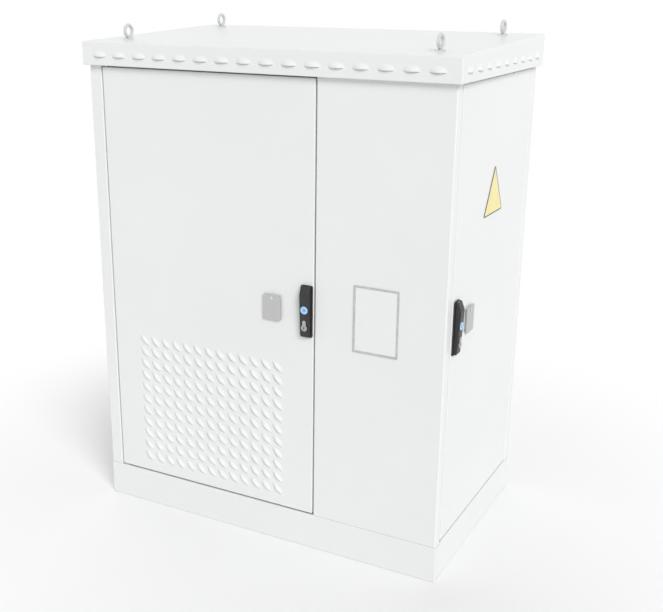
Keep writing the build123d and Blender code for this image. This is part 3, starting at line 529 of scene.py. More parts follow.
def carve(bm, cutter):
    """Cuts one shape out of another and frees the cutter."""
    mesh = bpy.data.meshes.new("carving")
    bm.to_mesh(mesh)
    carved, knife = placed("carving", mesh), placed("cutter", mesh_of(cutter, "cutter"))
    modifier = carved.modifiers.new("carve", "BOOLEAN")
    modifier.object = knife
    modifier.solver = "EXACT"
    graph = bpy.context.evaluated_depsgraph_get()
    result = bpy.data.meshes.new_from_object(carved.evaluated_get(graph))
    bm.clear()
    bm.from_mesh(result)
    for mesh in (carved.data, knife.data, result):
        bpy.data.meshes.remove(mesh)


def carve_slab(bm, low, high):
    """Cuts a box out of a shape."""
    cutter = bmesh.new()
    slab(cutter, low, high)
    carve(bm, cutter)


def bore(bm, centre, radius, low, high, segments=40):
    """Cuts a round hole along z out of a shape."""
    cutter = bmesh.new()
    drum(cutter, centre, radius, low, high, segments)
    carve(bm, cutter)


def piece(bm, name, body, finishes, replaced=(), wall=0.0):
    """Makes an object from a shape, riding on its body; a wall makes a thin shell of it."""
    if not bm.faces:
        raise RuntimeError(name + " came out empty")
    bm.normal_update()
    mesh = mesh_of(bm, name)
    for maker in finishes:
        mesh.materials.append(finish(maker))
    mesh.shade_smooth()
    mesh.set_sharp_from_angle(angle=radians(38))
    made = placed(name, mesh)
    if wall:
        shell = made.modifiers.new("wall", "SOLIDIFY")
        shell.thickness = wall
        shell.offset = -1.0
        shell.use_even_offset = False
    level = made.modifiers.new("even_shading", "WEIGHTED_NORMAL")
    level.keep_sharp = True
    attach(made, body)
    if replaced:
        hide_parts(*replaced)


def door_place(door):
    """Matrix from a door's face to the object: x from hinge to lock edge, y up, z outwards."""
    low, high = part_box(door + "_door_leaf")
    if door == "front":
        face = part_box("fixed_panel")[0].y
        return Matrix(((1, 0, 0, low.x), (0, 0, -1, face), (0, 1, 0, 0), (0, 0, 0, 1)))
    return Matrix(((0, 0, 1, high.x), (-1, 0, 0, high.y), (0, 1, 0, 0), (0, 0, 0, 1)))


def door_box(door, node):
    """Lowest and highest corners of a node in its door's frame."""
    back = door_place(door).inverted()
    ends = [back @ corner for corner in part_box(node)]
    return [Vector([limit(pair) for pair in zip(*ends)]) for limit in (min, max)]


def set_on_door(bm, door):
    """Moves a shape from the door's frame to the object; the side door is a mirror image."""
    bm.transform(door_place(door))
    if door == "side":
        bmesh.ops.reverse_faces(bm, faces=bm.faces)


# Pressed sheet metal

def louvre_cell(size, turn, cell):
    """Mesh of one flat cell round a pressed louvre, a shell open along its mouth, and the cell's shift."""
    run, width, height = size
    # How roundly the louvre falls off to its ends, from its mouth to its heel, and in plan
    end_power, crest_power, heel_power, plan_power = 1.3, 1.6, 1.7, 3
    edge_share = 0.001
    bm = bmesh.new()
    mouth = []
    for vert in bmesh.ops.create_grid(bm, x_segments=12, y_segments=6, size=0.5)["verts"]:
        along = sin(pi * vert.co.x)
        back = sin(pi / 2 * (vert.co.y + 0.5))
        arch = max(0.0, 1 - along ** 2) ** end_power
        reach = max(0.0, 1 - abs(along) ** plan_power) ** (1 / plan_power)
        bulge = max(0.0, 1 - back ** crest_power) ** heel_power
        if back < edge_share and abs(along) > 1 - edge_share:
            mouth.append(vert)
        vert.co = (along * run / 2, width * (back * reach - 0.5), height * arch * bulge)
    bm.edges.new(mouth)
    bmesh.ops.remove_doubles(bm, verts=bm.verts, dist=weld)
    foot = []
    for edge in bm.edges:
        if len(edge.link_faces) < 2 and max(vert.co.z for vert in edge.verts) < height * edge_share:
            foot.append(edge)
    bmesh.ops.rotate(bm, cent=(0, 0, 0), matrix=Matrix.Rotation(turn, 3, "Z"), verts=bm.verts)
    spots = [vert.co.xy for vert in bm.verts]
    shift = Vector([(min(along) + max(along)) / 2 for along in zip(*spots)]).to_3d()
    bmesh.ops.translate(bm, vec=-shift, verts=bm.verts)
    square = bmesh.ops.create_grid(bm, x_segments=1, y_segments=1, size=0.5)["verts"]
    bmesh.ops.scale(bm, vec=(cell[0], cell[1], 1), verts=square)
    flat = square[0].link_faces[0]
    border = list(flat.edges)
    bmesh.ops.delete(bm, geom=[flat], context="FACES_ONLY")
    bmesh.ops.triangle_fill(bm, use_beauty=True, edges=border + foot, normal=(0, 0, 1))
    turn_out(bm)
    return mesh_of(bm, "louvre_cell"), shift


def louvred_window(bm, loop, place, cell_mesh, cell, columns, rows):
    """Fills a loop of edges with a block of louvre cells and flat sheet around it."""
    made = []
    for column in range(columns):
        for row in range(rows):
            before = set(bm.verts)
            bm.from_mesh(cell_mesh)
            new = [vert for vert in bm.verts if vert not in before]
            step = Vector(((column - (columns - 1) / 2) * cell[0], (row - (rows - 1) / 2) * cell[1], 0))
            bmesh.ops.transform(bm, matrix=place @ Matrix.Translation(step), verts=new)
            made += new
    bmesh.ops.remove_doubles(bm, verts=made, dist=slack)
    back = place.inverted()
    half = (columns * cell[0] / 2, rows * cell[1] / 2)
    rim = []
    for edge in bm.edges:
        if not edge.is_boundary or edge in loop:
            continue
        ends = [back @ vert.co for vert in edge.verts]
        flat = all(abs(end.z) < slack for end in ends)
        if flat and any(all(abs(abs(end[axis]) - half[axis]) < slack for end in ends) for axis in (0, 1)):
            rim.append(edge)
    normal = place.to_3x3() @ Vector((0, 0, 1))
    bmesh.ops.triangle_fill(bm, use_beauty=True, edges=loop + rim, normal=normal)
    bpy.data.meshes.remove(cell_mesh)


def folded_pan(low, high, depth, louvres=None):
    """Door leaf folded from one sheet, in the door's frame, with a louvre block where one is given."""
    kept = sizes()
    bm = bmesh.new()
    skin = bmesh.ops.create_grid(bm, x_segments=1, y_segments=1, size=0.5)["verts"]
    bmesh.ops.scale(bm, vec=(high.x - low.x, high.y - low.y, 1), verts=skin)
    bmesh.ops.translate(bm, vec=((high.x + low.x) / 2, (high.y + low.y) / 2, 0), verts=skin)
    face = bm.faces[:][0]
    inset(bm, face, kept.skin_border)
    folds = [edge for edge in bm.edges if edge.is_boundary]
    walls = bmesh.ops.extrude_edge_only(bm, edges=folds)["geom"]
    bmesh.ops.translate(bm, vec=(0, 0, -depth), verts=verts_of(walls))
    corners = uprights(bm, depth / 2)
    loop = list(face.edges)
    if louvres is not None:
        bmesh.ops.delete(bm, geom=[face], context="FACES_ONLY")
        louvred_window(bm, loop, *louvres)
    turn_out(bm)
    soften(bm, folds + corners, kept.fold_radius)
    return bm


class CABINET_OT_front_leaf(bpy.types.Operator):
    """Presses the front door's leaf with its louvre field"""

    bl_idname = "cabinet.front_leaf"
    bl_label = "Front Door Leaf"

    def execute(self, context):
        kept = sizes()
        low, high = door_box("front", "front_door_leaf")
        size = (kept.louvre_length, kept.louvre_width, kept.louvre_height)
        cell = (kept.louvre_pitch, kept.louvre_pitch)
        mesh, shift = louvre_cell(size, kept.louvre_turn, cell)
        field = sum(door_box("front", "filter_frame"), Vector()) / 2
        place = Matrix.Translation((field.x + shift.x, field.y + shift.y, 0))
        bm = folded_pan(low, high, -low.z, (place, mesh, cell, kept.louvre_columns, kept.louvre_rows))
        set_on_door(bm, "front")
        piece(bm, "front_leaf_sheet", "front_door", [powder_coat], ["front_door_leaf"],
              kept.sheet)
        return {"FINISHED"}


class CABINET_OT_side_leaf(bpy.types.Operator):
    """Folds the side door's plain leaf"""

    bl_idname = "cabinet.side_leaf"
    bl_label = "Side Door Leaf"

    def execute(self, context):
        low, high = door_box("side", "side_door_leaf")
        bm = folded_pan(low, high, -low.z)
        set_on_door(bm, "side")
        piece(bm, "side_leaf_sheet", "side_door", [powder_coat], ["side_door_leaf"],
              sizes().sheet)
        return {"FINISHED"}


class CABINET_OT_hood(bpy.types.Operator):
    """Folds the sloping hood with louvres all round its skirt"""

    bl_idname = "cabinet.hood"
    bl_label = "Roof Hood"

    # A louvre's cell: its height by the louvre's width, the run of all cells by the skirt's, and the ends
    cell_height, cell_run, cell_ends = 1.6, 0.97, 0.3

    def execute(self, context):
        kept = sizes()
        low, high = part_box("roof_hood")
        half = Vector((high.x - kept.skirt_louvre_height, high.y - kept.skirt_louvre_height))
        front_top, rear_top = hood_levels()
        bm = bmesh.new()
        for vert in slab(bm, (-half.x, -half.y, low.z), (half.x, half.y, front_top)):
            if vert.co.z > low.z and vert.co.y > 0:
                vert.co.z = rear_top
        floor = [face for face in bm.faces if face.normal.z < -0.9]
        skirts = [face for face in bm.faces if abs(face.normal.z) < 0.5]
        bmesh.ops.delete(bm, geom=floor, context="FACES_ONLY")
        hems = [edge for edge in bm.edges if edge.is_boundary]
        folds = list(bm.edges)
        bmesh.ops.inset_individual(bm, faces=skirts, thickness=kept.skin_border / 2, use_even_offset=True)
        for vert in verts_of(bmesh.ops.extrude_edge_only(bm, edges=hems)["geom"]):
            for axis in (0, 1):
                vert.co[axis] -= copysign(kept.skirt_lip, vert.co[axis])
        loops = [(face.normal.copy(), list(face.edges)) for face in skirts]
        bmesh.ops.delete(bm, geom=skirts, context="FACES_ONLY")
        for normal, loop in loops:
            self.press_skirt(bm, normal, loop, half, (low.z + front_top) / 2)
        turn_out(bm)
        soften(bm, [edge for edge in folds if edge.is_valid], kept.fold_radius)
        piece(bm, "hood_sheet", "cabinet", [powder_coat], ["roof_hood"], kept.sheet)
        return {"FINISHED"}

    def press_skirt(self, bm, normal, loop, half, level):
        """Presses a row of louvres into one side of the skirt."""
        kept = sizes()
        on_front = abs(normal.y) > 0.5
        louvres = kept.skirt_front_count if on_front else kept.skirt_side_count
        run, out = (half.x, half.y) if on_front else (half.y, half.x)
        pitch = self.cell_run * 2 * run / (louvres + self.cell_ends)
        cell = (pitch, kept.skirt_louvre_width * self.cell_height)
        size = (kept.skirt_louvre_length, kept.skirt_louvre_width, kept.skirt_louvre_height)
        mesh, shift = louvre_cell(size, 0.0, cell)
        up = Vector((0, 0, 1))
        place = Matrix((up.cross(normal), up, normal)).transposed().to_4x4()
        place.translation = normal * out + up * level
        louvred_window(bm, loop, place @ Matrix.Translation(shift), mesh, cell, louvres, 1)


def hood_levels():
    """Heights of the roof at its front and its rear edge, read from the hood's top corners."""
    low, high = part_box("roof_hood")
    front_share = 0.96
    corners = [vert.co for vert in frame["nodes"]["roof_hood"].data.vertices]
    return max(co.z for co in corners if co.y < low.y * front_share), high.z


# Locks

def lever_face(height, top, foot):
    """Depth of the lever's front at one height: a ramp, a round crown, a long slope and a short one below."""
    kept = sizes()
    slope_foot = foot.y + kept.foot_slope
    crown = top.y - kept.crown_drop
    slope = (top.z - kept.foot_depth) / (crown - slope_foot)
    long_slope = kept.foot_depth + (height - slope_foot) * slope
    nose = foot.z + kept.nose_height
    ramp_slope = nose + (top.y - height) * (top.z - nose) / kept.crown_drop
    short_slope = kept.foot_depth - (slope_foot - height) * kept.foot_fall / kept.foot_slope
    depth = min(long_slope, ramp_slope, short_slope if height < slope_foot else long_slope)
    blend = kept.lever_edge
    rest = max(blend - abs(long_slope - ramp_slope), 0.0)
    return depth - rest * rest / (4 * blend)


def corner_reach(distance, radius):
    """How far a rounded corner lies inside the square one, at a distance from its end."""
    if distance >= radius:
        return 0.0
    return radius - (radius * radius - (radius - distance) ** 2) ** 0.5


def spread(start, reach, steps):
    """Even steps from a start, which is left out, over a reach."""
    return [start + reach * step / steps for step in range(1, steps + 1)]


def lever_shape(low, high):
    """Lever body in the door's frame, with rounded front edges and a rounded foot, bridged from rings."""
    kept = sizes()
    half = (high.x - low.x) / 2
    middle = (high.x + low.x) / 2
    edge = kept.lever_edge
    crown = high.y - kept.crown_drop
    plain = low.y + kept.dish_corner
    shares = [0.0, 0.1, 0.25, 0.5, 0.75, 1.0]
    heights = [low.y + edge * share for share in shares]
    heights += spread(low.y + edge, kept.dish_corner - edge, steps=4)
    heights += spread(plain, crown - edge - plain, steps=24)
    heights += [crown - edge / 2, crown, crown + edge / 2, crown + edge]
    heights += spread(crown + edge, high.y - crown - 2 * edge, steps=8)
    heights += [high.y - edge * share for share in reversed(shares[:-1])]
    bm = bmesh.new()
    rings = []
    for height in heights:
        to_foot, to_nose = height - low.y, high.y - height
        wide = half - corner_reach(to_foot, kept.dish_corner) - corner_reach(to_nose, kept.sheet)
        end = min(to_foot, to_nose)
        row = []
        for step in [edge * share for share in shares] + spread(edge, wide - edge, steps=5):
            row.append((wide - step, lever_face(height, high, low) - corner_reach(min(step, end), edge)))
        under = low.z + corner_reach(to_nose, kept.nose_radius)
        places = [(-side, depth) for side, depth in row] + row[-2::-1] + [(wide, under), (-wide, under)]
        ring = [bm.verts.new((middle + side, height, depth)) for side, depth in places]
        rings.append([bm.edges.new((ring[index - 1], ring[index])) for index in range(len(ring))])
    for below, above in zip(rings[:-1], rings[1:]):
        bmesh.ops.bridge_loops(bm, edges=below + above)
    for ring in (rings[0], rings[-1]):
        bmesh.ops.contextual_create(bm, geom=ring)
    bmesh.ops.recalc_face_normals(bm, faces=bm.faces)
    return bm


def profile_bar(centre, radius, neck_radius, neck_reach, low, high):
    """Profile cylinder between two heights: a round barrel with a narrower neck above it."""
    meet = (radius * radius - neck_radius * neck_radius) ** 0.5
    opening = Vector((neck_radius, meet)).angle(Vector((0, 1)))
    # The barrel's and the neck's arc: where each starts, the height of its middle, its angle and its steps
    barrel = ((-neck_radius, meet), 0.0, 2 * pi - 2 * opening, 28)
    neck = ((neck_radius, neck_reach), neck_reach, pi, 14)
    bm = bmesh.new()
    for (x, y), middle, angle, steps in (barrel, neck):
        first = bm.verts.new((centre[0] + x, centre[1] + y, low))
        bmesh.ops.spin(bm, geom=[first], cent=(centre[0], centre[1] + middle, low), axis=(0, 0, 1),
                       angle=angle, steps=steps)
    raise_face(bm, bm.faces.new(bm.verts), high - low)
    return bm


def cylinder_place(door):
    """Centre, radius, neck radius and neck reach of a profile cylinder, and its two depths."""
    low, high = door_box(door, door + "_lock_cylinder")
    radius = (high.x - low.x) / 2
    neck = radius * 10 / 17  # Such a cylinder is 17 mm across and 10 mm at its neck
    centre = ((low.x + high.x) / 2, low.y + radius)
    return centre, radius, neck, high.y - neck - centre[1], (low.z, high.z)


class CABINET_OT_handles(bpy.types.Operator):
    """Models the dish, the lever and the cap of each swing handle"""

    bl_idname = "cabinet.handles"
    bl_label = "Swing Handles"

    # The cap's section from its seat to its sunk centre, as shares of its radius and its height
    cap_section = ((0, 0), (1, 0), (1, 0.70), (0.985, 0.82), (0.95, 0.90), (0.88, 0.92), (0.85, 0.80),
                   (0.83, 0.92), (0.79, 0.98), (0.44, 1), (0.40, 0.97), (0.36, 0.82), (0, 0.80))
    # Shares of the radius outside which the rim, and inside which the sunk centre, get darker blues as
    # painted shade
    cap_rim_shade, cap_centre = 0.84, 0.39

    def execute(self, context):
        for door in doors:
            self.make_dish(door)
            self.make_lever(door)
            self.make_cap(door)
        return {"FINISHED"}

    def make_dish(self, door):
        """Shallow dish with a raised rim."""
        kept = sizes()
        low, high = door_box(door, door + "_handle_dish")
        bm = bmesh.new()
        slab(bm, low, high)
        soften(bm, uprights(bm), kept.dish_corner, segments=6)
        top = top_face(bm)
        inset(bm, top, kept.dish_rim)
        inset(bm, top, kept.dish_sink / 2, -kept.dish_sink)
        rims = []
        for edge in top_edges(bm, high.z):
            if any(abs(face.normal.z) < 0.1 for face in edge.link_faces):
                rims.append(edge)
        soften(bm, rims, kept.moulded_edge, segments=2)
        set_on_door(bm, door)
        piece(bm, door + "_dish_shell", door + "_door", [handle_plastic],
              [door + "_handle_dish"])

    def make_lever(self, door):
        """Lever with pockets for its hub, its cap and its lock cylinder."""
        kept = sizes()
        low, high = door_box(door, door + "_handle_lever")
        hub_low, hub_high = door_box(door, door + "_handle_spindle")
        cap_low, cap_high = door_box(door, door + "_handle_cap")
        middle = (low.x + high.x) / 2
        past, play = kept.sheet, kept.pocket_play
        bm = lever_shape(low, high)
        hub_end = hub_low.y - 4 * play
        carve_slab(bm, (middle - kept.hub_room, hub_end, low.z - past),
                   (middle + kept.hub_room, high.y + past, hub_high.z + play))
        cap_radius = (cap_high.x - cap_low.x) / 2
        bore(bm, (cap_low + cap_high) / 2, cap_radius + play, cap_low.z, high.z + past, segments=56)
        centre, radius, neck, reach, depths = cylinder_place(door)
        carve(bm, profile_bar(centre, radius + play, neck + play, reach, depths[0], high.z + past))
        set_on_door(bm, door)
        piece(bm, door + "_lever_grip", door + "_lever", [handle_plastic],
              [door + "_handle_lever"])

    def make_cap(self, door):
        """Round cap with a dark rim and a sunk centre."""
        low, high = door_box(door, door + "_handle_cap")
        radius = (high.x - low.x) / 2
        bm = bmesh.new()
        turned(bm, [(out * radius, up * (high.z - low.z)) for out, up in self.cap_section], steps=56)
        for face in bm.faces:
            share = face.calc_center_median().xy.length / radius
            # The rim and the sunk centre get darker blues as painted shade; the rest keeps the cap's light
            # blue
            face.material_index = 1 if share > self.cap_rim_shade else 2 if share < self.cap_centre else 0
        bmesh.ops.translate(bm, vec=((low.x + high.x) / 2, (low.y + high.y) / 2, low.z), verts=bm.verts)
        set_on_door(bm, door)
        piece(bm, door + "_cap_disc", door + "_lever",
              [cap_plastic, cap_rim_painted_shade, cap_centre_plastic], [door + "_handle_cap"])


class CABINET_OT_cylinders(bpy.types.Operator):
    """Models each profile cylinder and the plug that its key turns"""

    bl_idname = "cabinet.cylinders"
    bl_label = "Lock Cylinders"

    def execute(self, context):
        kept = sizes()
        past, plug_play = kept.sheet, kept.pocket_play / 3
        for door in doors:
            centre, radius, neck, reach, depths = cylinder_place(door)
            low, high = door_box(door, door + "_cylinder_plug")
            plug_radius = (high.x - low.x) / 2
            bm = profile_bar(centre, radius, neck, reach, *depths)
            soften(bm, top_edges(bm, depths[1]), kept.moulded_edge, segments=3)
            bore(bm, centre, plug_radius + plug_play, low.z, depths[1] + past, segments=56)
            set_on_door(bm, door)
            piece(bm, door + "_cylinder_barrel", door + "_lever", [lock_nickel],
                  [door + "_lock_cylinder"])
            bm = bmesh.new()
            drum(bm, centre, plug_radius, low.z, high.z, segments=56)
            soften(bm, top_edges(bm, high.z), kept.plate_edge, segments=2)
            half = Vector((kept.keyway_width, kept.keyway_length)) / 2
            carve_slab(bm, (centre[0] - half.x, centre[1] - half.y, low.z + past),
                       (centre[0] + half.x, centre[1] + half.y, high.z + past))
            set_on_door(bm, door)
            piece(bm, door + "_plug_face", door + "_plug", [lock_nickel],
                  [door + "_cylinder_plug"])
        return {"FINISHED"}


class CABINET_OT_covers(bpy.types.Operator):
    """Models the keyhole plates, their rivets and the covers that swing on them"""

    bl_idname = "cabinet.covers"
    bl_label = "Lock Covers"

    # The rivet's head from its edge to its crown, as shares of its radius and its rise
    head_section = ((1, 0), (1, 0.35), (0.9, 0.62), (0.72, 0.83), (0.42, 0.97), (0, 1))

    def execute(self, context):
        for door in doors:
            self.make_cover(door)
            self.make_base(door)
        return {"FINISHED"}

    def make_cover(self, door):
        """Cover with a hole for its rivet."""
        kept = sizes()
        low, high = door_box(door, door + "_lock_cover")
        past, rivet_play = kept.sheet, kept.pocket_play / 5
        bm = bmesh.new()
        slab(bm, low, high)
        soften(bm, uprights(bm), kept.cover_corner, segments=6)
        soften(bm, top_edges(bm, high.z), kept.cover_edge, segments=3)
        rivet = ((low.x + high.x) / 2, high.y - kept.rivet_drop)
        bore(bm, rivet, kept.rivet_radius + rivet_play, low.z - past, high.z + past)
        set_on_door(bm, door)
        piece(bm, door + "_cover_plate", door + "_cover", [brushed_steel],
              [door + "_lock_cover"])

    def make_base(self, door):
        """Plate with a keyhole and the cover's rivet."""
        kept = sizes()
        low, high = door_box(door, door + "_keyhole_plate")
        cover_low, cover_high = door_box(door, door + "_lock_cover")
        middle = (low.x + high.x) / 2
        seat = cover_low.z - kept.pocket_play
        bm = bmesh.new()
        slab(bm, low, (high.x, high.y, seat))
        soften(bm, uprights(bm), kept.dish_rim, segments=4)
        soften(bm, top_edges(bm, seat), kept.plate_edge, segments=2)
        hole = (cover_low.y + cover_high.y) / 2
        floor, above = low.z + kept.keyhole_floor, seat + kept.sheet
        half = kept.keyhole_radius / 2
        slot_end = hole - 6 * half
        bore(bm, (middle, hole), kept.keyhole_radius, floor, above)
        carve_slab(bm, (middle - half, slot_end, floor), (middle + half, hole, above))
        head = high.z - kept.rivet_rise
        section = [(0, low.z), (kept.rivet_radius, low.z), (kept.rivet_radius, head)]
        section += [(out * kept.rivet_head, head + up * kept.rivet_rise) for out, up in self.head_section]
        rivet = bmesh.new()
        turned(rivet, section, steps=36)
        bmesh.ops.translate(rivet, vec=(middle, cover_high.y - kept.rivet_drop, 0), verts=rivet.verts)
        clad(rivet, 1)
        join(bm, rivet)
        set_on_door(bm, door)
        piece(bm, door + "_keyhole_base", door + "_door", [brushed_steel, bright_steel],
              [door + "_keyhole_plate"])


class CABINET_OT_sign(bpy.types.Operator):
    """Sets the bare triangular plate on the side door"""

    bl_idname = "cabinet.sign"
    bl_label = "Triangular Plate"

    def execute(self, context):
        kept = sizes()
        reach = kept.sign_side / 3 ** 0.5
        bm = bmesh.new()
        corners = [pi / 2 + 2 * pi * step / 3 for step in range(3)]
        bm.faces.new([bm.verts.new((reach * cos(turn), reach * sin(turn), 0)) for turn in corners])
        bmesh.ops.bevel(bm, geom=bm.verts[:], offset=kept.sign_corner, segments=6, profile=0.5,
                        affect="VERTICES", material=-1)
        raise_face(bm, bm.faces[:][0], kept.sign_thickness)
        soften(bm, list(top_face(bm).edges), kept.sign_thickness / 4, segments=2)
        top = top_face(bm)
        inset(bm, top, kept.sign_border)
        top.material_index = 1
        lowest = min(vert.co.y for vert in bm.verts)
        bm.transform(Matrix(((0, 0, 1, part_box("side_door_leaf")[1].x), (1, 0, 0, kept.sign_centre),
                             (0, 1, 0, kept.sign_base - lowest), (0, 0, 0, 1))))
        piece(bm, "bare_triangle_plate", "side_door", [plate_edging, plate_yellow])
        return {"FINISHED"}


class CABINET_OT_eyes(bpy.types.Operator):
    """Models the four lifting eyes on the roof"""

    bl_idname = "cabinet.eyes"
    bl_label = "Lifting Eyes"

    def execute(self, context):
        kept = sizes()
        low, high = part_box("lifting_eyes")
        hood_low, hood_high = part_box("roof_hood")
        front_top, rear_top = hood_levels()
        reach = kept.eye_ring + kept.eye_wire
        bm = bmesh.new()
        for x in (low.x + kept.eye_collar, high.x - kept.eye_collar):
            for y in (low.y + reach, high.y - reach):
                share = (y - hood_low.y) / (hood_high.y - hood_low.y)
                level = front_top + share * (rear_top - front_top)
                eye = self.make_eye()
                bmesh.ops.translate(eye, vec=(x, y, level), verts=eye.verts)
                join(bm, eye)
        piece(bm, "forged_eyes", "cabinet", [bright_steel], ["lifting_eyes"])
        return {"FINISHED"}

    def make_eye(self):
        """Upright ring on a neck and a hexagon."""
        kept = sizes()
        ring, wire, sheet = kept.eye_ring, kept.eye_wire, kept.sheet
        eye = bmesh.new()
        loop = bmesh.ops.create_circle(eye, cap_ends=False, segments=16, radius=wire)["verts"]
        bmesh.ops.rotate(eye, cent=(0, 0, 0), matrix=Matrix.Rotation(pi / 2, 3, "X"), verts=loop)
        bmesh.ops.translate(eye, vec=(ring, 0, 0), verts=loop)
        bmesh.ops.spin(eye, geom=eye.verts[:] + eye.edges[:], cent=(0, 0, 0), axis=(0, 0, 1), angle=2 * pi,
                       steps=40, use_merge=True)
        bmesh.ops.rotate(eye, cent=(0, 0, 0), matrix=Matrix.Rotation(pi / 2, 3, "Y"), verts=eye.verts)
        bmesh.ops.translate(eye, vec=(0, 0, sheet + ring + wire), verts=eye.verts)
        bmesh.ops.recalc_face_normals(eye, faces=eye.faces)
        collar = bmesh.new()
        drum(collar, (0, 0), kept.eye_collar, -sheet, 2 * sheet, segments=6)
        soften(collar, top_edges(collar, 0), kept.moulded_edge, segments=2)
        join(eye, collar)
        neck = bmesh.new()
        section = ((0, 0), (ring / 2, 0), (ring / 2, 2 * sheet), (wire, 3 * sheet), (0, 3 * sheet))
        turned(neck, section, steps=32)
        join(eye, neck)
        return eye


finish_of_slot = {
    "body_paint": powder_coat,
    "zinc_steel": zinc_plate,
    "stainless": brushed_steel,
    "handle_plastic": handle_plastic,
    "cap_plastic": cap_plastic,
    "lock_nickel": lock_nickel,
    "foam_seal": foam_rubber,
    "window_rubber": window_rubber,
    "opal_pane": opal_pane,
    "filter_fibre": filter_fibre,
    "gland_plastic": gland_plastic,
    "breaker_plastic": breaker_plastic,
    "copper_bar": copper_bar,
}

# Folded, cut and turned pieces of the frame that keep their form and get rounded edges
plain_nodes = ["plinth_front", "plinth_rear", "plinth_left", "plinth_right", "plinth_brackets", "left_wall",
               "rear_wall", "right_rear_post", "fixed_panel", "base_tray", "gland_plate", "ceiling",
               "partition", "rack_front_uprights", "rack_rear_uprights", "mounting_plate", "mounting_rails",
               "filter_frame"]
for door_node in ("frame", "hinge_bushes", "hinge_pins", "lock_mounts", "lock_cam", "rod_upper", "rod_lower",
                  "handle_spindle"):
    plain_nodes += [door + "_" + door_node for door in doors]


class CABINET_OT_nodes(bpy.types.Operator):
    """Gives every piece of the frame its finish"""

    bl_idname = "cabinet.nodes"
    bl_label = "Frame Finishes"

    def execute(self, context):
        for row in frame["record"]["subparts"]:
            node = frame["nodes"][row["node"]]
            node.data.materials.clear()
            node.data.materials.append(finish(finish_of_slot[row["material_slot"]]))
        return {"FINISHED"}


class CABINET_OT_edges(bpy.types.Operator):
    """Rounds the edges of the folded, cut and moulded pieces that keep their plain form"""

    bl_idname = "cabinet.edges"
    bl_label = "Rounded Pieces"

    def execute(self, context):
        kept = sizes()
        soft = dict.fromkeys(("foam_seal", "filter_fibre"), kept.foam_edge)
        soft.update(dict.fromkeys(("window_rubber", "opal_pane", "gland_plastic"), kept.moulded_edge))
        for row in frame["record"]["subparts"]:
            node, slot = row["node"], row["material_slot"]
            if node in plain_nodes or slot in soft:
                bm = merged_copy(node)
                soften_sharp(bm, soft.get(slot, kept.plate_edge), 3 if slot in soft else 2)
                piece(bm, node + "_rounded", node_body(node), [finish_of_slot[slot]], [node])
        return {"FINISHED"}


def node_body(node):
    """Name of the body that a frame node belongs to."""
    holder = frame["nodes"][node].parent
    return next(name for name, body in frame["bodies"].items() if body == holder)


def merged_copy(node):
    """Shape of a frame node with its triangles joined and its flat faces made whole."""
    bm = bmesh.new()
    bm.from_mesh(frame["nodes"][node].data)
    bmesh.ops.remove_doubles(bm, verts=bm.verts, dist=slack)
    bmesh.ops.dissolve_limit(bm, angle_limit=radians(1), verts=bm.verts, edges=bm.edges)
    bmesh.ops.recalc_face_normals(bm, faces=bm.faces)
    clad(bm, 0)
    return bm


class CABINET_OT_fit_out(bpy.types.Operator):
    """Models the breakers with their levers and screws, and the earth bar with its screws"""

    bl_idname = "cabinet.fit_out"
    bl_label = "Breakers and Earth Bar"

    def execute(self, context):
        self.make_breakers()
        self.make_earth_bar()
        return {"FINISHED"}

    def make_breakers(self):
        """Row of breakers with dark levers, and a screw above and below each."""
        kept = sizes()
        low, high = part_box("breakers")
        bm = merged_copy("breakers")
        fronts = sorted({round(face.calc_center_median().x, 5) for face in bm.faces if face.normal.x > 0.9})
        shoulder, nose = fronts[0], fronts[1]
        places = [face.calc_center_median().y for face in bm.faces if face.normal.x < -0.9]
        soften_sharp(bm, kept.moulded_edge, segments=3)
        for face in bm.faces:
            face.material_index = 1 if face.calc_center_median().x > nose + kept.pocket_play else 0
        margin = (high.z - low.z) / 8
        for y in places:
            for level in (low.z + margin, high.z - margin):
                join(bm, self.make_screw((shoulder, y, level), 2))
        piece(bm, "breaker_row", "cabinet", [breaker_plastic, gland_plastic, bright_steel],
              ["breakers"])

    def make_earth_bar(self):
        """Earth bar with a row of screws."""
        kept = sizes()
        low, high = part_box("earth_bar")
        bm = merged_copy("earth_bar")
        soften_sharp(bm, kept.plate_edge, segments=2)
        level = (low.z + high.z) / 2
        for index in range(kept.earth_screws):
            y = low.y + (high.y - low.y) * (index + 0.5) / kept.earth_screws
            join(bm, self.make_screw((high.x, y, level), 1))
        piece(bm, "earth_bar_screwed", "cabinet", [copper_bar, bright_steel], ["earth_bar"])

    def make_screw(self, place, index):
        """Slotted screw whose head faces along x."""
        kept = sizes()
        radius, rise, half = kept.screw_radius, kept.screw_rise, kept.screw_slot / 2
        screw = bmesh.new()
        drum(screw, (0, 0), radius, -rise, rise, segments=24)
        soften(screw, top_edges(screw, 0), rise / 3, segments=2)
        carve_slab(screw, (-half, -2 * radius, rise / 3), (half, 2 * radius, 2 * rise))
        clad(screw, index)
        screw.transform(Matrix.Translation(place) @ Matrix.Rotation(pi / 2, 4, "Y"))
        return screw


# Stage

white = (1.0, 1.0, 1.0, 1.0)


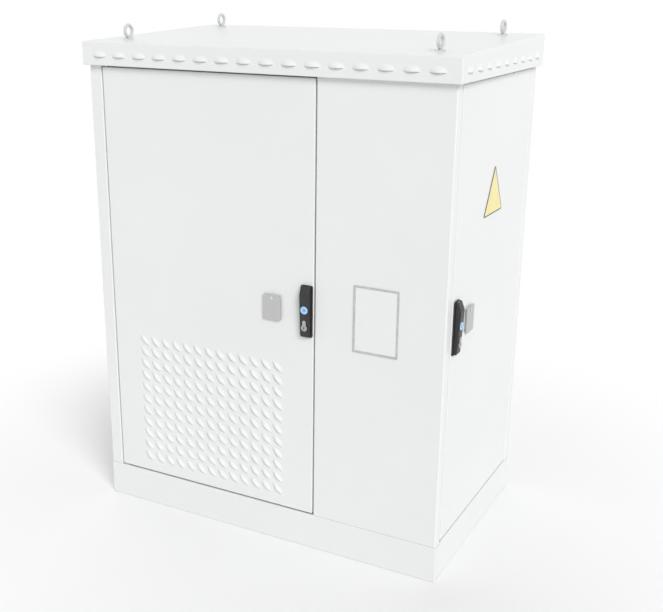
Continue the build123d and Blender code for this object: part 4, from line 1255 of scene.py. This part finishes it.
class CABINET_OT_stage(bpy.types.Operator):
    """Sets the floor, the light and the camera"""

    bl_idname = "cabinet.stage"
    bl_label = "Stage"

    # Half the floor's side, and the distances over which it fades to white
    floor_reach, fade_start, fade_end = 40.0, 0.55, 1.6
    sky_strength = 0.50

    # Each lamp's name, the way to it, its strength and its spread in degrees
    lamps = (("key_sun", (0.62, -0.53, 0.58), 2.25, 28), ("fill_sun", (-0.64, 0.67, 0.38), 0.9, 70))
    lamp_distance = 4

    # The camera that the photograph's straight lines give: pixels, metres and radians
    picture_width, picture_height = 663.0, 612.0
    focal_pixels, middle_pixel = 1015.6, (301.90, 311.68)
    camera_place = (1.2910, -2.4667, 1.4746)
    yaw, pitch, roll = 0.493613, 0.315019, 0.004919

    def execute(self, context):
        self.make_floor()
        self.make_world()
        self.make_lamps()
        self.make_camera()
        context.scene.view_settings.view_transform = "Standard"
        return {"FINISHED"}

    def make_floor(self):
        """Pale floor that keeps the shadow and fades to white around it."""
        material = bpy.data.materials.new("studio_floor")
        material.use_nodes = True
        tree = material.node_tree
        shader = tree.nodes["Principled BSDF"]
        shader.inputs["Base Color"].default_value = tuple(colours().floor) + (1.0,)
        shader.inputs["Roughness"].default_value = 0.9
        coords = tree.nodes.new("ShaderNodeTexCoord").outputs["Object"]
        away = add_node(tree, "VectorMath", {0: coords}, operation="LENGTH")
        fade = add_node(tree, "MapRange", {"Value": away.outputs["Value"]},
                        {"From Min": self.fade_start, "From Max": self.fade_end},
                        interpolation_type="SMOOTHSTEP")
        share = add_node(tree, "Math", {0: fade.outputs["Result"], 1: seen_directly(tree)},
                         operation="MULTIPLY")
        glow = add_node(tree, "Emission", {}, {"Color": white, "Strength": 1.0})
        choose(tree, share.outputs["Value"], shader, glow, tree.nodes["Material Output"])
        bm = bmesh.new()
        bmesh.ops.create_grid(bm, x_segments=1, y_segments=1, size=self.floor_reach)
        mesh = mesh_of(bm, "studio_floor")
        mesh.materials.append(material)
        floor = placed("studio_floor", mesh)

    def make_world(self):
        """Soft sky that looks white."""
        world = bpy.data.worlds.new("studio_sky")
        bpy.context.scene.world = world
        world.use_nodes = True
        tree = world.node_tree
        soft = tree.nodes["Background"]
        soft.inputs["Color"].default_value = white
        soft.inputs["Strength"].default_value = self.sky_strength
        plain = add_node(tree, "Background", {}, {"Color": white, "Strength": 1.0})
        choose(tree, seen_directly(tree), soft, plain, tree.nodes["World Output"])

    def make_lamps(self):
        """Two wide suns, which shiny pieces don't mirror."""
        for name, way, power, degrees in self.lamps:
            lamp = bpy.data.lights.new(name, "SUN")
            lamp.energy = power
            lamp.angle = radians(degrees)
            holder = placed(name, lamp)
            holder.visible_glossy = False
            holder.location = self.lamp_distance * Vector(way)
            holder.rotation_euler = (-Vector(way)).to_track_quat("-Z", "Y").to_euler()

    def make_camera(self):
        """Camera at the photograph's view."""
        lens = bpy.data.cameras.new("photo_camera")
        lens.sensor_width = 36.0
        lens.lens = self.focal_pixels * lens.sensor_width / self.picture_width
        lens.shift_x = (self.picture_width / 2 - self.middle_pixel[0]) / self.picture_width
        lens.shift_y = (self.middle_pixel[1] - self.picture_height / 2) / self.picture_width
        camera = placed("photo_camera", lens)
        turns = ((self.yaw, "Z"), (pi / 2 - self.pitch, "X"), (self.roll, "Z"))
        stand = Matrix.Translation(self.camera_place)
        for angle, axis in turns:
            stand = stand @ Matrix.Rotation(angle, 4, axis)
        camera.matrix_world = stand
        bpy.context.scene.camera = camera


def seen_directly(tree):
    """Factor that is 1 for camera, glossy and transmission rays."""
    path = tree.nodes.new("ShaderNodeLightPath")
    factor = path.outputs["Is Camera Ray"]
    for name in ("Is Glossy Ray", "Is Transmission Ray"):
        most = add_node(tree, "Math", {0: factor, 1: path.outputs[name]}, operation="MAXIMUM")
        factor = most.outputs["Value"]
    return factor


def choose(tree, factor, first, second, target):
    """Leads two shaders, mixed by a factor, to an output."""
    mix = add_node(tree, "MixShader", {"Fac": factor, 1: first.outputs[0], 2: second.outputs[0]})
    tree.links.new(mix.outputs["Shader"], target.inputs["Surface"])


operators = (CABINET_OT_nodes, CABINET_OT_edges, CABINET_OT_front_leaf, CABINET_OT_side_leaf, CABINET_OT_hood,
             CABINET_OT_handles, CABINET_OT_cylinders, CABINET_OT_covers, CABINET_OT_sign, CABINET_OT_eyes,
             CABINET_OT_fit_out, CABINET_OT_stage)


class CABINET_PT_pieces(bpy.types.Panel):
    """Lists the cabinet's pieces in the sidebar"""

    bl_idname = "CABINET_PT_pieces"
    bl_label = "Utility Cabinet"
    bl_space_type = "VIEW_3D"
    bl_region_type = "UI"
    bl_category = "Cabinet"

    def draw(self, context):
        for operator in operators:
            self.layout.operator(operator.bl_idname)


classes = (CabinetSizes, CabinetFinishes) + operators + (CABINET_PT_pieces,)


def register():
    """Adds the classes and the scene's settings."""
    for each in classes:
        bpy.utils.register_class(each)
    bpy.types.Scene.cabinet_sizes = PointerProperty(type=CabinetSizes)
    bpy.types.Scene.cabinet_finishes = PointerProperty(type=CabinetFinishes)


def unregister():
    """Takes away the scene's settings and the classes."""
    del bpy.types.Scene.cabinet_sizes
    del bpy.types.Scene.cabinet_finishes
    for each in reversed(classes):
        bpy.utils.unregister_class(each)


def main():
    """Makes every piece in order."""
    register()
    for operator in operators:
        group, name = operator.bl_idname.split(".")
        getattr(getattr(bpy.ops, group), name)()


if __name__ == "__main__":
    main()
